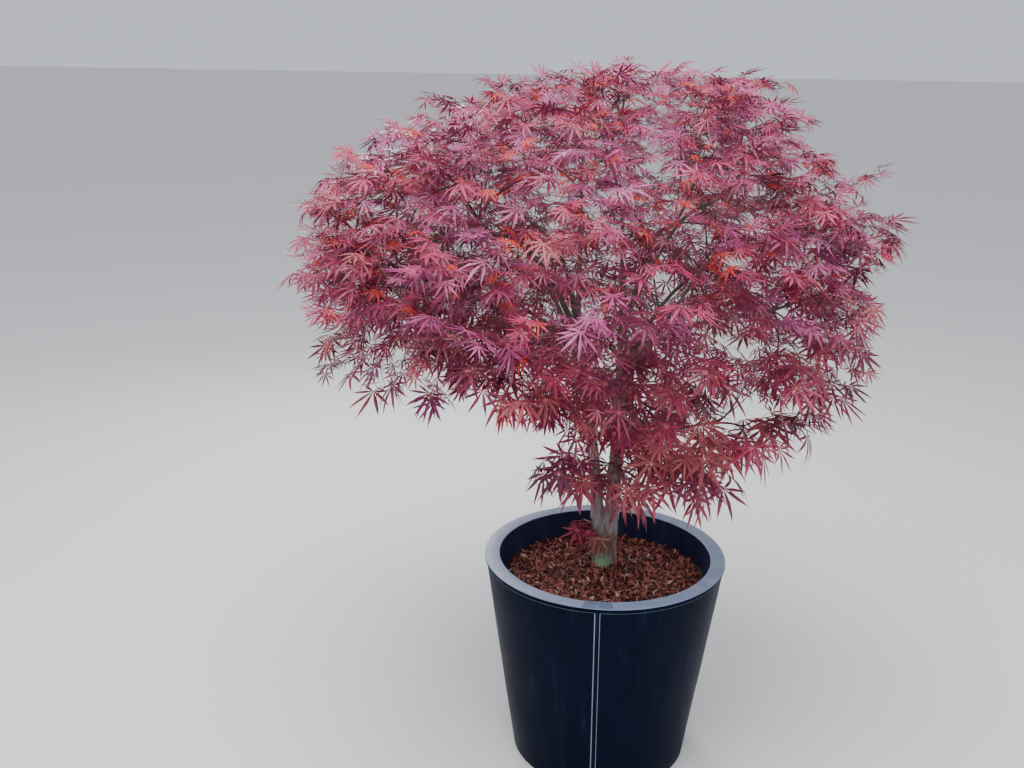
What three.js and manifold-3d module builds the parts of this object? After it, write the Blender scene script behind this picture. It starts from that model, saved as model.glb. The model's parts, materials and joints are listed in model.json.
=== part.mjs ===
// A red-leaved garden tree in a round tapered metal planter.
// Millimetres, +Z up. The origin is the centre of the flat underside of the pot,
// -Y is the front of the pot, where its upright lock seam is, and +X is to the right.
//
// The tree has one short trunk that forks into two stems just above the bark mulch.
// Slim boughs leave the stems, and each carries one mass of foliage: a stem, twigs that
// leave it by a seeded rule, and hand-shaped leaves on every twig. Each mass keeps to the
// space that lies nearer to its own centre than to any other, so no two masses touch.

import * as THREE from 'three';
import { mergeVertices } from 'three/addons/utils/BufferGeometryUtils.js';
import Module from 'manifold-3d';

const wasm = await Module();
wasm.setup();

// Touching pieces keep this gap.
const CLEARANCE = 0.3;

// Edges shorter than this close up when pieces are fused, and points nearer than this to
// each other are one point.
const SMALLEST_EDGE = 0.02;
const SAME_POINT = 1e-4;

// Pot: a double-walled tapered tub with a flat folded rim and one upright seam.
const POT_HEIGHT = 420;
const POT_BASE_RADIUS = 173;
const POT_WALL_TOP_RADIUS = 233;
const POT_RIM_RADIUS = 235;
const POT_RIM_INNER_RADIUS = 206;
const POT_RIM_DROP = 5;
const POT_WALL_THICKNESS = 27;
const POT_FLOOR_THICKNESS = 24;
const POT_SEGMENTS = 44;
const SEAM_WIDTH = 9;
const SEAM_PROUD = 1;
const SEAM_SUNK = 4;
const SEAM_END_GAP = 6;
const SEAM_AZIMUTH = THREE.MathUtils.degToRad(-92);

// Filling: compost below, a layer of bark mulch above, which the trunk stands on.
const MULCH_TOP = 373;
const MULCH_DEPTH = 28;
const FILLING_GAP = 0.4;

// Trunk: two fused legs, given by the places and radii of their feet and tops along X, with
// a flare at the foot and an old knob in front.
const TRUNK_Y = 50;
const FORK_HEIGHT = 500;
const LEGS = [
  { footX: -6, topX: -18, footRadius: 16, topRadius: 13.9 },
  { footX: 6, topX: 12.5, footRadius: 18, topRadius: 15.4 },
];
const LEG_SUNK = 12;
const LEG_FOOT_LEAN = 50;
const LEG_TOP_LEAN = 40;
const LEG_SPREAD = 0.45;
const LEG_SIDES = 10;
const LEG_RINGS = 6;
const ROOT_FLARE = 7;
const ROOT_FLARE_REACH = 0.16;
const STUB_CENTRE = new THREE.Vector3(-4, 37, 378);
const STUB_RADII = new THREE.Vector3(17, 15, 19);
const STUB_SEGMENTS = 10;
const SLAB_WIDTH = 900;

// Stems: each goes on from one leg and ends in the mass of foliage that tipMass names. The
// leans say how far and which way it heads at its two ends.
const STEMS = [
  {
    name: 'left_stem',
    tipMass: 'upper_3',
    leg: LEGS[0],
    startLean: new THREE.Vector3(-12, 0, 110),
    tip: new THREE.Vector3(-92, TRUNK_Y + 40, 960),
    tipLean: new THREE.Vector3(-40, 22, 150),
    tipRadius: 4.6,
  },
  {
    name: 'right_stem',
    tipMass: 'top',
    leg: LEGS[1],
    startLean: new THREE.Vector3(4, 0, 140),
    tip: new THREE.Vector3(8, TRUNK_Y - 26, 1080),
    tipLean: new THREE.Vector3(-16, -12, 170),
    tipRadius: 4,
  },
];
const LIMB_SIDES = 8;
const STEM_RINGS = 12;

// Crown: a broad dome whose underside climbs from the right to the left. The tilts are what
// its rise and fall gain on the right and lose on the left.
const CROWN_CENTRE = new THREE.Vector3(-65, 25, 991);
const CROWN_HALF_WIDTH = 539;
const CROWN_HALF_DEPTH = 520;
const CROWN_RISE = 372;
const CROWN_RISE_TILT = 51;
const CROWN_FALL = 298;
const CROWN_FALL_TILT = 197;
const CROWN_UPPER_POWER = 1;
const CROWN_LOWER_POWER = 1.12;
const CROWN_HEIGHT_POWER = 0.9;
const LUMPS = { share: 0.05, round: 3, turn: 1.1, down: 2.3, shift: 0.4 };
const GOLDEN_ANGLE = Math.PI * (3 - Math.sqrt(5));
const SEED = 21;

// Masses of foliage, tier by tier: how many, how high, and how far from the axis, as shares
// of the crown's rise or fall and of its reach. first is the azimuth of the first and step
// the angle to the next, in degrees. rise is how far below its mass a bough leaves its stem.
const TIERS = [
  { name: 'top', count: 1, height: 0.66, reach: 0.04, first: 60, step: 0, rise: 0 },
  { name: 'upper', count: 5, height: 0.42, reach: 0.54, first: 20, step: 72, rise: 300 },
  { name: 'middle', count: 6, height: -0.06, reach: 0.72, first: -10, step: 60, rise: 250 },
  { name: 'lower', count: 5, height: -0.55, reach: 0.48, first: -125, step: 62.5, rise: 100 },
  { name: 'skirt', count: 2, height: -0.8, reach: 0.22, first: -50, step: 110, rise: 30 },
];

// Small leafy sprouts at the foot of the trunk: azimuth in degrees, and height above the mulch.
const SPROUTS = [
  { label: 'left_sprout', azimuth: 195, height: 34 },
  { label: 'front_sprout', azimuth: -82, height: 40 },
];
const SPROUT_SCALE = 0.4;
const SPROUT_LENGTH = 62;
const SPROUT_RISE = 0.6;
const SPROUT_CENTRE = 0.7;
const SPROUT_TURNS = [-1, 0, 1];
const SPROUT_STAGGER = 8;
const SPROUT_STEM_BEYOND = 4;
const BARK_PROBE = 200;
const SPROUT_AXIS = new THREE.Vector3(0, TRUNK_Y, MULCH_TOP);
const SPROUT_SET_OFF = 0.8;

// Twigs and leaves.
const OUTER_SPRAYS = 84;
const OUTER_DEPTH = 0.84;
const INNER_SPRAYS = 8;
const INNER_DEPTH = 0.56;
const INNER_TURN = 1;
const TWIG_SIDES = 3;
const TWIG_RINGS = 2;
const TWIG_STEP = 0.017;
const TWIG_RADIUS = 3;
const TWIG_TIP_RADIUS = 2.2;
const TWIG_BACK = 0.5;
const TWIG_SHARES = { first: 0.12, last: 0.85 };
const TWIG_LEAN = 0.16;
const TWIG_TIP_LEAN = 0.3;
const TWIG_SHORTENINGS = [1, 0.85, 0.7, 0.55];
const LEAF_REACH = 112;
const LEAF_THICKNESS = 0.032;
const LEAF_DROOP = 0.28;
const SPACE_MARGIN = 0.4;
const LEAF_SCATTER = 0.6;
const LEAF_FOLLOW = 0.8;
const LEAF_STEEPEST = 0.5;
const LOWEST_STEEPNESS = -0.2;
const LEAF_SIZES = [1, 0.85, 0.7];
const LEAF_SWINGS = [0, 0.5, -0.5, 0.9, -0.9];
const LEAF_NODES = [
  { share: 0.97, turn: 0 },
  { share: 0.66, turn: 1.25 },
  { share: 0.6, turn: -1.25 },
];
const LEAF_DIP = 0.7;
const STALK_LENGTH = 0.4;
const STALK_RISE = 0.25;
const ROOT_THICKNESS = 0.0135;
const LOBE_SHARES = [0.62, 0.9, 1, 0.9, 0.62];
const LOBE_ANGLE = 0.74;
const LOBE_NOTCH = 0.33;

// Boughs, and the stems of the masses that go on from them.
const LOWEST_BOUGH = 545;
const BOUGH_STEP = 9;
const BOUGH_TRIES = 40;
const BOUGH_SIDES = 5;
const BOUGH_RINGS = 4;
const LIMB_SAMPLES = 40;
const LIMB_GAP = 2;
const BOUGH_TIP_RADIUS = 3.4;
const BOUGH_SWELL = 0.008;
const BOUGH_LEANS = { startOut: 0.22, startUp: 0.3, endOut: 0.3, endUp: 0.06 };
const HEIGHT_SAMPLES = 60;
const MASS_STEM_BEFORE = 95;
const MASS_STEM_BEYOND = 75;
const MASS_STEM_LIFT = 90;
const MASS_STEM_LEAN = 0.35;
const MASS_STEM_RADIUS = 3.8;
const MASS_STEM_SIDES = 4;
const MASS_STEM_RINGS = 3;
const GROWN_BY = 0.45;

const POT_FINISH = { color: 0x1c2533, roughness: 0.4, metalness: 0.6 };
const COMPOST = { color: 0x2c1d14, roughness: 1, metalness: 0 };
const MULCH = { color: 0x5e3522, roughness: 1, metalness: 0 };
const BARK = { color: 0x6b6654, roughness: 0.85, metalness: 0 };
const LEAF = { color: 0x8f2c46, roughness: 0.55, metalness: 0 };

const UP = new THREE.Vector3(0, 0, 1);

// A seeded stream of numbers from 0 to 1, the same on every run.
function seeded(seed) {
  let state = seed >>> 0;
  return () => {
    state = (state + 0x6d2b79f5) >>> 0;
    let mixed = Math.imul(state ^ (state >>> 15), state | 1);
    mixed ^= mixed + Math.imul(mixed ^ (mixed >>> 7), mixed | 61);
    return ((mixed ^ (mixed >>> 14)) >>> 0) / 4294967296;
  };
}

function solidOf(geometry) {
  const bare = geometry.clone();
  bare.deleteAttribute('normal');
  bare.deleteAttribute('uv');
  const merged = mergeVertices(bare, SAME_POINT);
  return new wasm.Manifold(new wasm.Mesh({
    numProp: 3,
    vertProperties: new Float32Array(merged.attributes.position.array),
    triVerts: new Uint32Array(merged.index.array),
  }));
}

// The largest connected body of a solid: loose scraps go and sealed hollows are filled.
function mainBody(solid) {
  const bodies = solid.decompose();
  return bodies.reduce((best, body) => (body.volume() > best.volume() ? body : best));
}

function geometryOf(solid) {
  const mesh = mainBody(solid.simplify(SMALLEST_EDGE)).getMesh();
  const geometry = new THREE.BufferGeometry();
  geometry.setAttribute('position', new THREE.BufferAttribute(new Float32Array(mesh.vertProperties), 3));
  geometry.setIndex(new THREE.BufferAttribute(new Uint32Array(mesh.triVerts), 1));
  geometry.computeVertexNormals();
  return geometry;
}

function named(name, geometry, finish) {
  const mesh = new THREE.Mesh(geometry, new THREE.MeshStandardMaterial(finish));
  mesh.name = name;
  return mesh;
}

// A closed tapering tube of flat-sided rings along a curve.
function taperedTube(curve, radiusAt, sides, rings) {
  const frames = curve.computeFrenetFrames(rings, false);
  const positions = [];
  for (let ring = 0; ring <= rings; ring += 1) {
    const share = ring / rings;
    const centre = curve.getPointAt(share);
    const radius = radiusAt(share);
    for (let side = 0; side < sides; side += 1) {
      const angle = (2 * Math.PI * side) / sides;
      const point = centre.clone()
        .addScaledVector(frames.normals[ring], radius * Math.cos(angle))
        .addScaledVector(frames.binormals[ring], radius * Math.sin(angle));
      positions.push(point.x, point.y, point.z);
    }
  }
  const faces = [];
  for (let ring = 0; ring < rings; ring += 1) {
    for (let side = 0; side < sides; side += 1) {
      const a = ring * sides + side;
      const b = ring * sides + ((side + 1) % sides);
      faces.push(a, b, b + sides, a, b + sides, a + sides);
    }
  }
  for (let side = 1; side < sides - 1; side += 1) {
    faces.push(0, side + 1, side);
    faces.push(rings * sides, rings * sides + side, rings * sides + side + 1);
  }
  const geometry = new THREE.BufferGeometry();
  geometry.setAttribute('position', new THREE.Float32BufferAttribute(positions, 3));
  geometry.setIndex(faces);
  return geometry;
}

// A limb leaves its start in one direction and reaches its end in another.
function limbCurve(start, startLean, end, endLean) {
  return new THREE.CubicBezierCurve3(
    start,
    start.clone().add(startLean),
    end.clone().sub(endLean),
    end,
  );
}

function taper(startRadius, endRadius) {
  return (share) => startRadius + (endRadius - startRadius) * share;
}

function limbSolid(limb, grow = 0) {
  const radiusAt = (share) => limb.radiusAt(share) + grow;
  return solidOf(taperedTube(limb.curve, radiusAt, limb.sides, limb.rings));
}

// The pot's wall, rim and floor as one turned body, with the raised lock seam.
function potBody() {
  const innerFloorRadius = POT_BASE_RADIUS - POT_WALL_THICKNESS;
  const profile = [
    [0, 0],
    [POT_BASE_RADIUS, 0],
    [POT_WALL_TOP_RADIUS, POT_HEIGHT - POT_RIM_DROP],
    [POT_RIM_RADIUS, POT_HEIGHT - POT_RIM_DROP],
    [POT_RIM_RADIUS, POT_HEIGHT],
    [POT_RIM_INNER_RADIUS, POT_HEIGHT],
    [innerFloorRadius, POT_FLOOR_THICKNESS],
    [0, POT_FLOOR_THICKNESS],
  ].map(([radius, height]) => new THREE.Vector2(radius, height));
  const tub = new THREE.LatheGeometry(profile, POT_SEGMENTS);
  tub.rotateX(Math.PI / 2);
  return solidOf(tub).add(potSeam());
}

// The seam is a flat band that follows the slope of the wall.
function potSeam() {
  const wallHeight = POT_HEIGHT - POT_RIM_DROP;
  const slope = Math.atan2(POT_WALL_TOP_RADIUS - POT_BASE_RADIUS, wallHeight);
  const apothem = Math.cos(Math.PI / POT_SEGMENTS);
  const length = wallHeight / Math.cos(slope) - 2 * SEAM_END_GAP;
  const band = new THREE.BoxGeometry(SEAM_PROUD + SEAM_SUNK, SEAM_WIDTH, length);
  band.translate((SEAM_PROUD - SEAM_SUNK) / 2, 0, 0);
  band.rotateY(slope);
  band.translate(apothem * (POT_BASE_RADIUS + POT_WALL_TOP_RADIUS) / 2, 0, wallHeight / 2);
  band.rotateZ(SEAM_AZIMUTH);
  return solidOf(band);
}

// The radius of the filling at a height, clear of the inner wall.
function fillingRadius(height) {
  const floorRadius = POT_BASE_RADIUS - POT_WALL_THICKNESS;
  const share = (height - POT_FLOOR_THICKNESS) / (POT_HEIGHT - POT_FLOOR_THICKNESS);
  return floorRadius + (POT_RIM_INNER_RADIUS - floorRadius) * share - FILLING_GAP;
}

function fillingLayer(bottom, top) {
  const profile = [
    [0, bottom],
    [fillingRadius(bottom), bottom],
    [fillingRadius(top), top],
    [0, top],
  ].map(([radius, height]) => new THREE.Vector2(radius, height));
  const layer = new THREE.LatheGeometry(profile, POT_SEGMENTS);
  layer.rotateX(Math.PI / 2);
  return solidOf(layer);
}

// The trunk's two legs, with the flare at their foot.
function trunkLegs() {
  const foot = MULCH_TOP + CLEARANCE - LEG_SUNK;
  return LEGS.map(({ footX, topX, footRadius, topRadius }) => ({
    curve: limbCurve(
      new THREE.Vector3(footX, TRUNK_Y, foot),
      new THREE.Vector3(0, 0, LEG_FOOT_LEAN),
      new THREE.Vector3(topX, TRUNK_Y, FORK_HEIGHT),
      new THREE.Vector3((topX - footX) * LEG_SPREAD, 0, LEG_TOP_LEAN),
    ),
    radiusAt: (share) => taper(footRadius, topRadius)(share)
      + ROOT_FLARE * Math.exp(-share / ROOT_FLARE_REACH),
    sides: LEG_SIDES,
    rings: LEG_RINGS,
  }));
}

// The old knob in front of the trunk's foot.
function stub() {
  const knob = new THREE.SphereGeometry(1, STUB_SEGMENTS, STUB_SEGMENTS / 2 + 1);
  knob.rotateX(Math.PI / 2);
  knob.scale(STUB_RADII.x, STUB_RADII.y, STUB_RADII.z);
  knob.translate(STUB_CENTRE.x, STUB_CENTRE.y, STUB_CENTRE.z);
  return solidOf(knob);
}

// A slab that trims a piece above or below a height.
function slab(bottom, top) {
  const box = new THREE.BoxGeometry(SLAB_WIDTH, SLAB_WIDTH, top - bottom);
  box.translate(0, 0, (top + bottom) / 2);
  return solidOf(box);
}

function trunkBody(legs) {
  const legSolids = legs.map((leg) => limbSolid(leg));
  return legSolids[0].add(legSolids[1]).add(stub())
    .intersect(slab(MULCH_TOP + CLEARANCE, FORK_HEIGHT));
}

// The two stems go on from the trunk's fork.
function makeStems() {
  return STEMS.map(({ name, tipMass, leg, startLean, tip, tipLean, tipRadius }) => ({
    name,
    tipMass,
    curve: limbCurve(
      new THREE.Vector3(leg.topX, TRUNK_Y, FORK_HEIGHT + CLEARANCE),
      startLean,
      tip,
      tipLean,
    ),
    radiusAt: taper(leg.topRadius, tipRadius),
    sides: LIMB_SIDES,
    rings: STEM_RINGS,
  }));
}

// How far the crown rises, or falls, from its centre at an azimuth.
function crownRise(azimuth) {
  return CROWN_RISE + CROWN_RISE_TILT * Math.cos(azimuth);
}

function crownFall(azimuth) {
  return CROWN_FALL + CROWN_FALL_TILT * Math.cos(azimuth);
}

// How far the crown reaches: the place on its surface at an azimuth and a latitude
// from -1, the underside, to 1, the top. depth draws it in towards the centre.
function crownPlace(azimuth, latitude, depth) {
  const level = Math.sqrt(1 - latitude * latitude);
  const power = latitude > 0 ? CROWN_UPPER_POWER : CROWN_LOWER_POWER;
  const lump = 1 + LUMPS.share * Math.sin(LUMPS.round * azimuth + LUMPS.turn)
    * Math.cos(LUMPS.down * latitude + LUMPS.shift);
  const across = depth * lump * level ** power;
  const swell = Math.sign(latitude) * Math.abs(latitude) ** CROWN_HEIGHT_POWER;
  const height = depth * swell * (latitude > 0 ? crownRise(azimuth) : crownFall(azimuth));
  const x = CROWN_HALF_WIDTH * across * Math.cos(azimuth);
  const y = CROWN_HALF_DEPTH * across * Math.sin(azimuth);
  return new THREE.Vector3(x, y, height).add(CROWN_CENTRE);
}

// Places spread evenly over the crown's surface by the golden angle.
function sprayPlaces(count, depth, turn) {
  return Array.from({ length: count }, (_, index) => {
    const latitude = 1 - (2 * (index + 0.5)) / count;
    return crownPlace(index * GOLDEN_ANGLE + turn, latitude, depth);
  });
}

// The centre of each mass, tier by tier round the crown.
function massCentres() {
  const masses = [];
  for (const tier of TIERS) {
    for (let index = 0; index < tier.count; index += 1) {
      const azimuth = THREE.MathUtils.degToRad(tier.first + tier.step * index);
      const centre = crownPlace(azimuth, 0, tier.reach);
      centre.z += tier.height * (tier.height > 0 ? crownRise(azimuth) : crownFall(azimuth));
      const outward = centre.clone().sub(CROWN_CENTRE);
      outward.z += MASS_STEM_LIFT;
      masses.push({
        label: tier.count > 1 ? `${tier.name}_${index + 1}` : tier.name,
        centre,
        outward: outward.normalize(),
        beyond: MASS_STEM_BEYOND,
        scale: 1,
        forkHeight: centre.z - tier.rise,
      });
    }
  }
  return masses;
}

// Where a level line from outside first meets the bark of the trunk.
function pointOnBark(trunk, azimuthUnit, height) {
  const axis = SPROUT_AXIS.clone().addScaledVector(UP, height);
  const outside = axis.clone().addScaledVector(azimuthUnit, BARK_PROBE);
  const line = new THREE.Raycaster(outside, azimuthUnit.clone().negate());
  return line.intersectObject(trunk)[0].point;
}

// A sprout leaves the foot of the trunk and carries three small sprays of its own.
function sproutMasses(trunk) {
  return SPROUTS.map(({ label, azimuth, height }) => {
    const angle = THREE.MathUtils.degToRad(azimuth);
    const across = new THREE.Vector3(Math.cos(angle), Math.sin(angle), 0);
    const entry = pointOnBark(trunk, across, height).addScaledVector(across, SPROUT_SET_OFF);
    const heading = across.clone().addScaledVector(UP, SPROUT_RISE).normalize();
    const centre = entry.clone().addScaledVector(heading, SPROUT_LENGTH * SPROUT_CENTRE);
    const places = SPROUT_TURNS.map((turn) => entry.clone()
      .addScaledVector(heading.clone().applyAxisAngle(UP, turn), SPROUT_LENGTH)
      .addScaledVector(UP, SPROUT_STAGGER * turn));
    const growth = { beyond: SPROUT_STEM_BEYOND, scale: SPROUT_SCALE };
    return { label, centre, outward: heading, entry, heading, places, ...growth };
  });
}

// The point of a curve that lies nearest to a height.
function pointAtHeight(curve, height) {
  const points = curve.getSpacedPoints(HEIGHT_SAMPLES);
  return points.reduce((best, point) => (
    Math.abs(point.z - height) < Math.abs(best.z - height) ? point : best));
}

// Whether two limbs keep a gap from each other all along.
function keepApart(one, other) {
  const shares = Array.from({ length: LIMB_SAMPLES + 1 }, (_, index) => index / LIMB_SAMPLES);
  const ownPoints = shares.map((share) => one.curve.getPoint(share));
  const otherPoints = shares.map((share) => other.curve.getPoint(share));
  return ownPoints.every((own, i) => otherPoints.every((point, j) => (
    own.distanceTo(point) > one.radiusAt(shares[i]) + other.radiusAt(shares[j]) + LIMB_GAP)));
}

// A bough rises from its stem and levels out towards its mass.
function boughFrom(mass, carrier, height) {
  const start = pointAtHeight(carrier.curve, Math.max(height, LOWEST_BOUGH));
  const across = mass.centre.clone().sub(start);
  const length = across.length() - MASS_STEM_BEFORE;
  const end = start.clone().addScaledVector(across.clone().normalize(), length);
  const flat = new THREE.Vector3(across.x, across.y, 0).normalize();
  const startLean = flat.clone().multiplyScalar(BOUGH_LEANS.startOut)
    .addScaledVector(UP, BOUGH_LEANS.startUp).multiplyScalar(length);
  const endLean = flat.clone().multiplyScalar(BOUGH_LEANS.endOut)
    .addScaledVector(UP, BOUGH_LEANS.endUp).multiplyScalar(length);
  return {
    name: `${mass.label}_bough`,
    curve: limbCurve(start, startLean, end, endLean),
    radiusAt: taper(BOUGH_TIP_RADIUS + BOUGH_SWELL * length, BOUGH_TIP_RADIUS),
    sides: BOUGH_SIDES,
    rings: BOUGH_RINGS,
    carrier,
  };
}

// Every mass hangs on a bough, which leaves its stem higher where it would meet another
// bough, or on a stem's own tip.
function makeBoughs(masses, stems) {
  const boughs = [];
  for (const mass of [...masses].reverse()) {
    const tipStem = stems.find((stem) => stem.tipMass === mass.label);
    const carrier = mass.centre.x < CROWN_CENTRE.x ? stems[0] : stems[1];
    const tries = Array.from({ length: BOUGH_TRIES }, (_, step) => {
      const aside = (step % 2 ? -1 : 1) * Math.ceil(step / 2) * BOUGH_STEP;
      return boughFrom(mass, carrier, mass.forkHeight + aside);
    });
    const limb = tipStem ?? tries.find((bough) => boughs.every((other) => keepApart(bough, other)));
    mass.entry = limb.curve.getPointAt(1);
    mass.heading = limb.curve.getTangentAt(1);
    if (!tipStem) {
      boughs.push(limb);
    }
  }
  return boughs;
}

// The stem of a mass goes on from its bough's tip, through the centre, towards the light.
function massStem(mass) {
  const start = mass.entry.clone().addScaledVector(mass.heading, CLEARANCE);
  const end = mass.centre.clone().addScaledVector(mass.outward, mass.beyond);
  const reach = end.distanceTo(start) * MASS_STEM_LEAN;
  const curve = limbCurve(
    start,
    mass.heading.clone().multiplyScalar(reach),
    end,
    mass.outward.clone().multiplyScalar(reach),
  );
  const radiusAt = taper(MASS_STEM_RADIUS * mass.scale, TWIG_RADIUS * mass.scale);
  return { curve, radiusAt, sides: MASS_STEM_SIDES, rings: MASS_STEM_RINGS };
}

// The space of a mass is all that lies nearer to its centre than to any other.
function staysInSpace(points, mass, masses) {
  return masses.every((other) => {
    if (other === mass) {
      return true;
    }
    const between = other.centre.clone().sub(mass.centre);
    const middle = mass.centre.clone().add(other.centre).multiplyScalar(0.5);
    const span = between.length();
    return points.every((point) => point.clone().sub(middle).dot(between) / span < -SPACE_MARGIN);
  });
}

// Angle and share of the reach of each point round a leaf, from one side of its stalk
// to the other: the lobes' tips with a notch between each two.
function leafOutline() {
  const lobes = LOBE_SHARES.length;
  return LOBE_SHARES.flatMap((share, index) => {
    const angle = (index - (lobes - 1) / 2) * LOBE_ANGLE;
    const tip = [angle, share];
    const notch = [angle + LOBE_ANGLE / 2, LOBE_NOTCH];
    return index < lobes - 1 ? [tip, notch] : [tip];
  });
}

// A leaf is a thin hand of five pointed lobes on a stalk. Its faces fan out from the two
// ends of the hub's axis, and the stalk runs back from the hub to the root, which is sunk
// in the twig.
function leafShape(root, pose, reach) {
  const hub = root.clone().addScaledVector(pose.stalk, STALK_LENGTH * reach);
  const side = new THREE.Vector3().crossVectors(pose.normal, pose.forward).normalize();
  const facing = new THREE.Vector3().crossVectors(pose.forward, side).normalize();
  const lobes = leafOutline().map(([angle, share]) => {
    const length = reach * share;
    return hub.clone()
      .addScaledVector(pose.forward, length * Math.cos(angle))
      .addScaledVector(side, length * Math.sin(angle))
      .addScaledVector(facing, -LEAF_DROOP * length * share);
  });
  const hubHalf = (LEAF_THICKNESS * reach) / 2;
  const collar = [
    hub.clone().addScaledVector(side, -hubHalf),
    ...lobes,
    hub.clone().addScaledVector(side, hubHalf),
  ];
  const half = (ROOT_THICKNESS * reach) / 2;
  const rootRing = [
    root.clone().addScaledVector(facing, half),
    root.clone().addScaledVector(side, -half),
    root.clone().addScaledVector(facing, -half),
    root.clone().addScaledVector(side, half),
  ];
  return {
    outline: collar,
    top: hub.clone().addScaledVector(facing, hubHalf),
    bottom: hub.clone().addScaledVector(facing, -hubHalf),
    rootRing,
  };
}

function leafPoints(shape) {
  return [...shape.outline, shape.top, shape.bottom, ...shape.rootRing];
}

function leafSolid(shape) {
  const count = shape.outline.length;
  const top = count;
  const bottom = count + 1;
  const faces = [];
  for (let index = 0; index < count - 1; index += 1) {
    faces.push(top, index, index + 1, bottom, index + 1, index);
  }
  const hubRing = [top, 0, bottom, count - 1];
  const rootRing = [0, 1, 2, 3].map((corner) => count + 2 + corner);
  for (let corner = 0; corner < 4; corner += 1) {
    const next = (corner + 1) % 4;
    faces.push(hubRing[corner], rootRing[corner], rootRing[next]);
    faces.push(hubRing[corner], rootRing[next], hubRing[next]);
  }
  faces.push(rootRing[0], rootRing[2], rootRing[1], rootRing[0], rootRing[3], rootRing[2]);
  const geometry = new THREE.BufferGeometry();
  const positions = leafPoints(shape).flatMap((point) => point.toArray());
  geometry.setAttribute('position', new THREE.Float32BufferAttribute(positions, 3));
  geometry.setIndex(faces);
  return solidOf(geometry);
}

// The way a leaf points: outward from the crown's axis, turned by its own angle, drooping.
// Its stalk leaves the twig the same way, but rises.
function leafPose(place, heading, turn, tilt) {
  const outward = place.clone().sub(CROWN_CENTRE);
  const steep = THREE.MathUtils.clamp(outward.z / CROWN_RISE, LOWEST_STEEPNESS, 1);
  const flat = new THREE.Vector3(outward.x, outward.y, 0).normalize()
    .addScaledVector(heading, LEAF_FOLLOW).setZ(0).normalize().applyAxisAngle(UP, turn);
  const forward = flat.clone().addScaledVector(UP, -(LEAF_DIP - LEAF_STEEPEST * steep)).normalize();
  const stalk = flat.clone().addScaledVector(UP, STALK_RISE + LEAF_STEEPEST * steep).normalize();
  const across = new THREE.Vector3().crossVectors(UP, flat);
  const normal = new THREE.Vector3().crossVectors(forward, across).applyAxisAngle(forward, tilt);
  return { forward, stalk, normal };
}

// One twig from the mass's stem to a spray's place, shortened until it stays in the space.
// No two twigs leave the stem at one point.
function growTwig(place, index, stem, mass, masses) {
  const chord = stem.curve.getPointAt(1).sub(stem.curve.getPointAt(0));
  const along = place.clone().sub(stem.curve.getPointAt(0)).dot(chord) / chord.lengthSq();
  const away = place.distanceTo(stem.curve.getPointAt(THREE.MathUtils.clamp(along, 0, 1)));
  const back = along - (TWIG_BACK * away) / chord.length();
  const share = THREE.MathUtils.clamp(back, TWIG_SHARES.first, TWIG_SHARES.last) + TWIG_STEP * index;
  const start = stem.curve.getPointAt(share);
  for (const shortening of TWIG_SHORTENINGS) {
    const end = start.clone().lerp(place, shortening);
    const length = end.distanceTo(start);
    const startLean = end.clone().sub(start).multiplyScalar(TWIG_LEAN)
      .addScaledVector(stem.curve.getTangentAt(share), TWIG_LEAN * length);
    const endLean = end.clone().sub(start).setZ(0).multiplyScalar(TWIG_TIP_LEAN);
    const curve = limbCurve(start, startLean, end, endLean);
    if (staysInSpace(curve.getPoints(2 * TWIG_RINGS), mass, masses)) {
      const radiusAt = taper(TWIG_RADIUS * mass.scale, TWIG_TIP_RADIUS * mass.scale);
      return { curve, radiusAt, sides: TWIG_SIDES, rings: TWIG_RINGS };
    }
  }
  return null;
}

// A leaf on a twig, turned or made smaller until it stays in the space and clear of the
// limbs, the other twigs and the leaves before it, or else left out.
function growLeaf(twig, node, random, mass, masses, kept) {
  const root = twig.curve.getPointAt(node.share);
  const heading = twig.curve.getTangentAt(node.share);
  const turn = node.turn + LEAF_SCATTER * (random() - 0.5);
  const tilt = LEAF_SCATTER * (random() - 0.5);
  for (const size of LEAF_SIZES) {
    for (const swing of LEAF_SWINGS) {
      const pose = leafPose(root, heading, turn + swing, tilt);
      const shape = leafShape(root, pose, LEAF_REACH * size * mass.scale);
      if (staysInSpace(leafPoints(shape), mass, masses)) {
        const leaf = leafSolid(shape);
        if (kept.every((solid) => leaf.intersect(solid).isEmpty())) {
          return leaf;
        }
      }
    }
  }
  return null;
}

// A mass is its stem, a twig to each of its sprays, and leaves at the twigs' tips and nodes.
function massBody(mass, masses, places, limbs, random) {
  const stem = massStem(mass);
  const stemSolid = limbSolid(stem);
  const twigs = places.map((place, index) => growTwig(place, index, stem, mass, masses)).filter(Boolean)
    .map((twig) => ({ ...twig, solid: limbSolid(twig) }))
    .filter((twig) => twig.solid.intersect(limbs).isEmpty());
  const bearers = [{ ...stem, solid: stemSolid }, ...twigs];
  const leaves = [];
  for (const node of LEAF_NODES) {
    for (const twig of bearers) {
      const others = bearers.filter((other) => other !== twig).map((other) => other.solid);
      const kept = [limbs, ...others, ...leaves];
      const leaf = growLeaf(twig, node, random, mass, masses, kept);
      if (leaf) {
        leaves.push(leaf);
      }
    }
  }
  const wood = twigs.reduce((all, twig) => all.add(twig.solid), stemSolid);
  return leaves.reduce((all, leaf) => all.add(leaf), wood);
}

function nearestMass(place, masses) {
  return masses.reduce((best, mass) => (
    place.distanceTo(mass.centre) < place.distanceTo(best.centre) ? mass : best));
}

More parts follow.
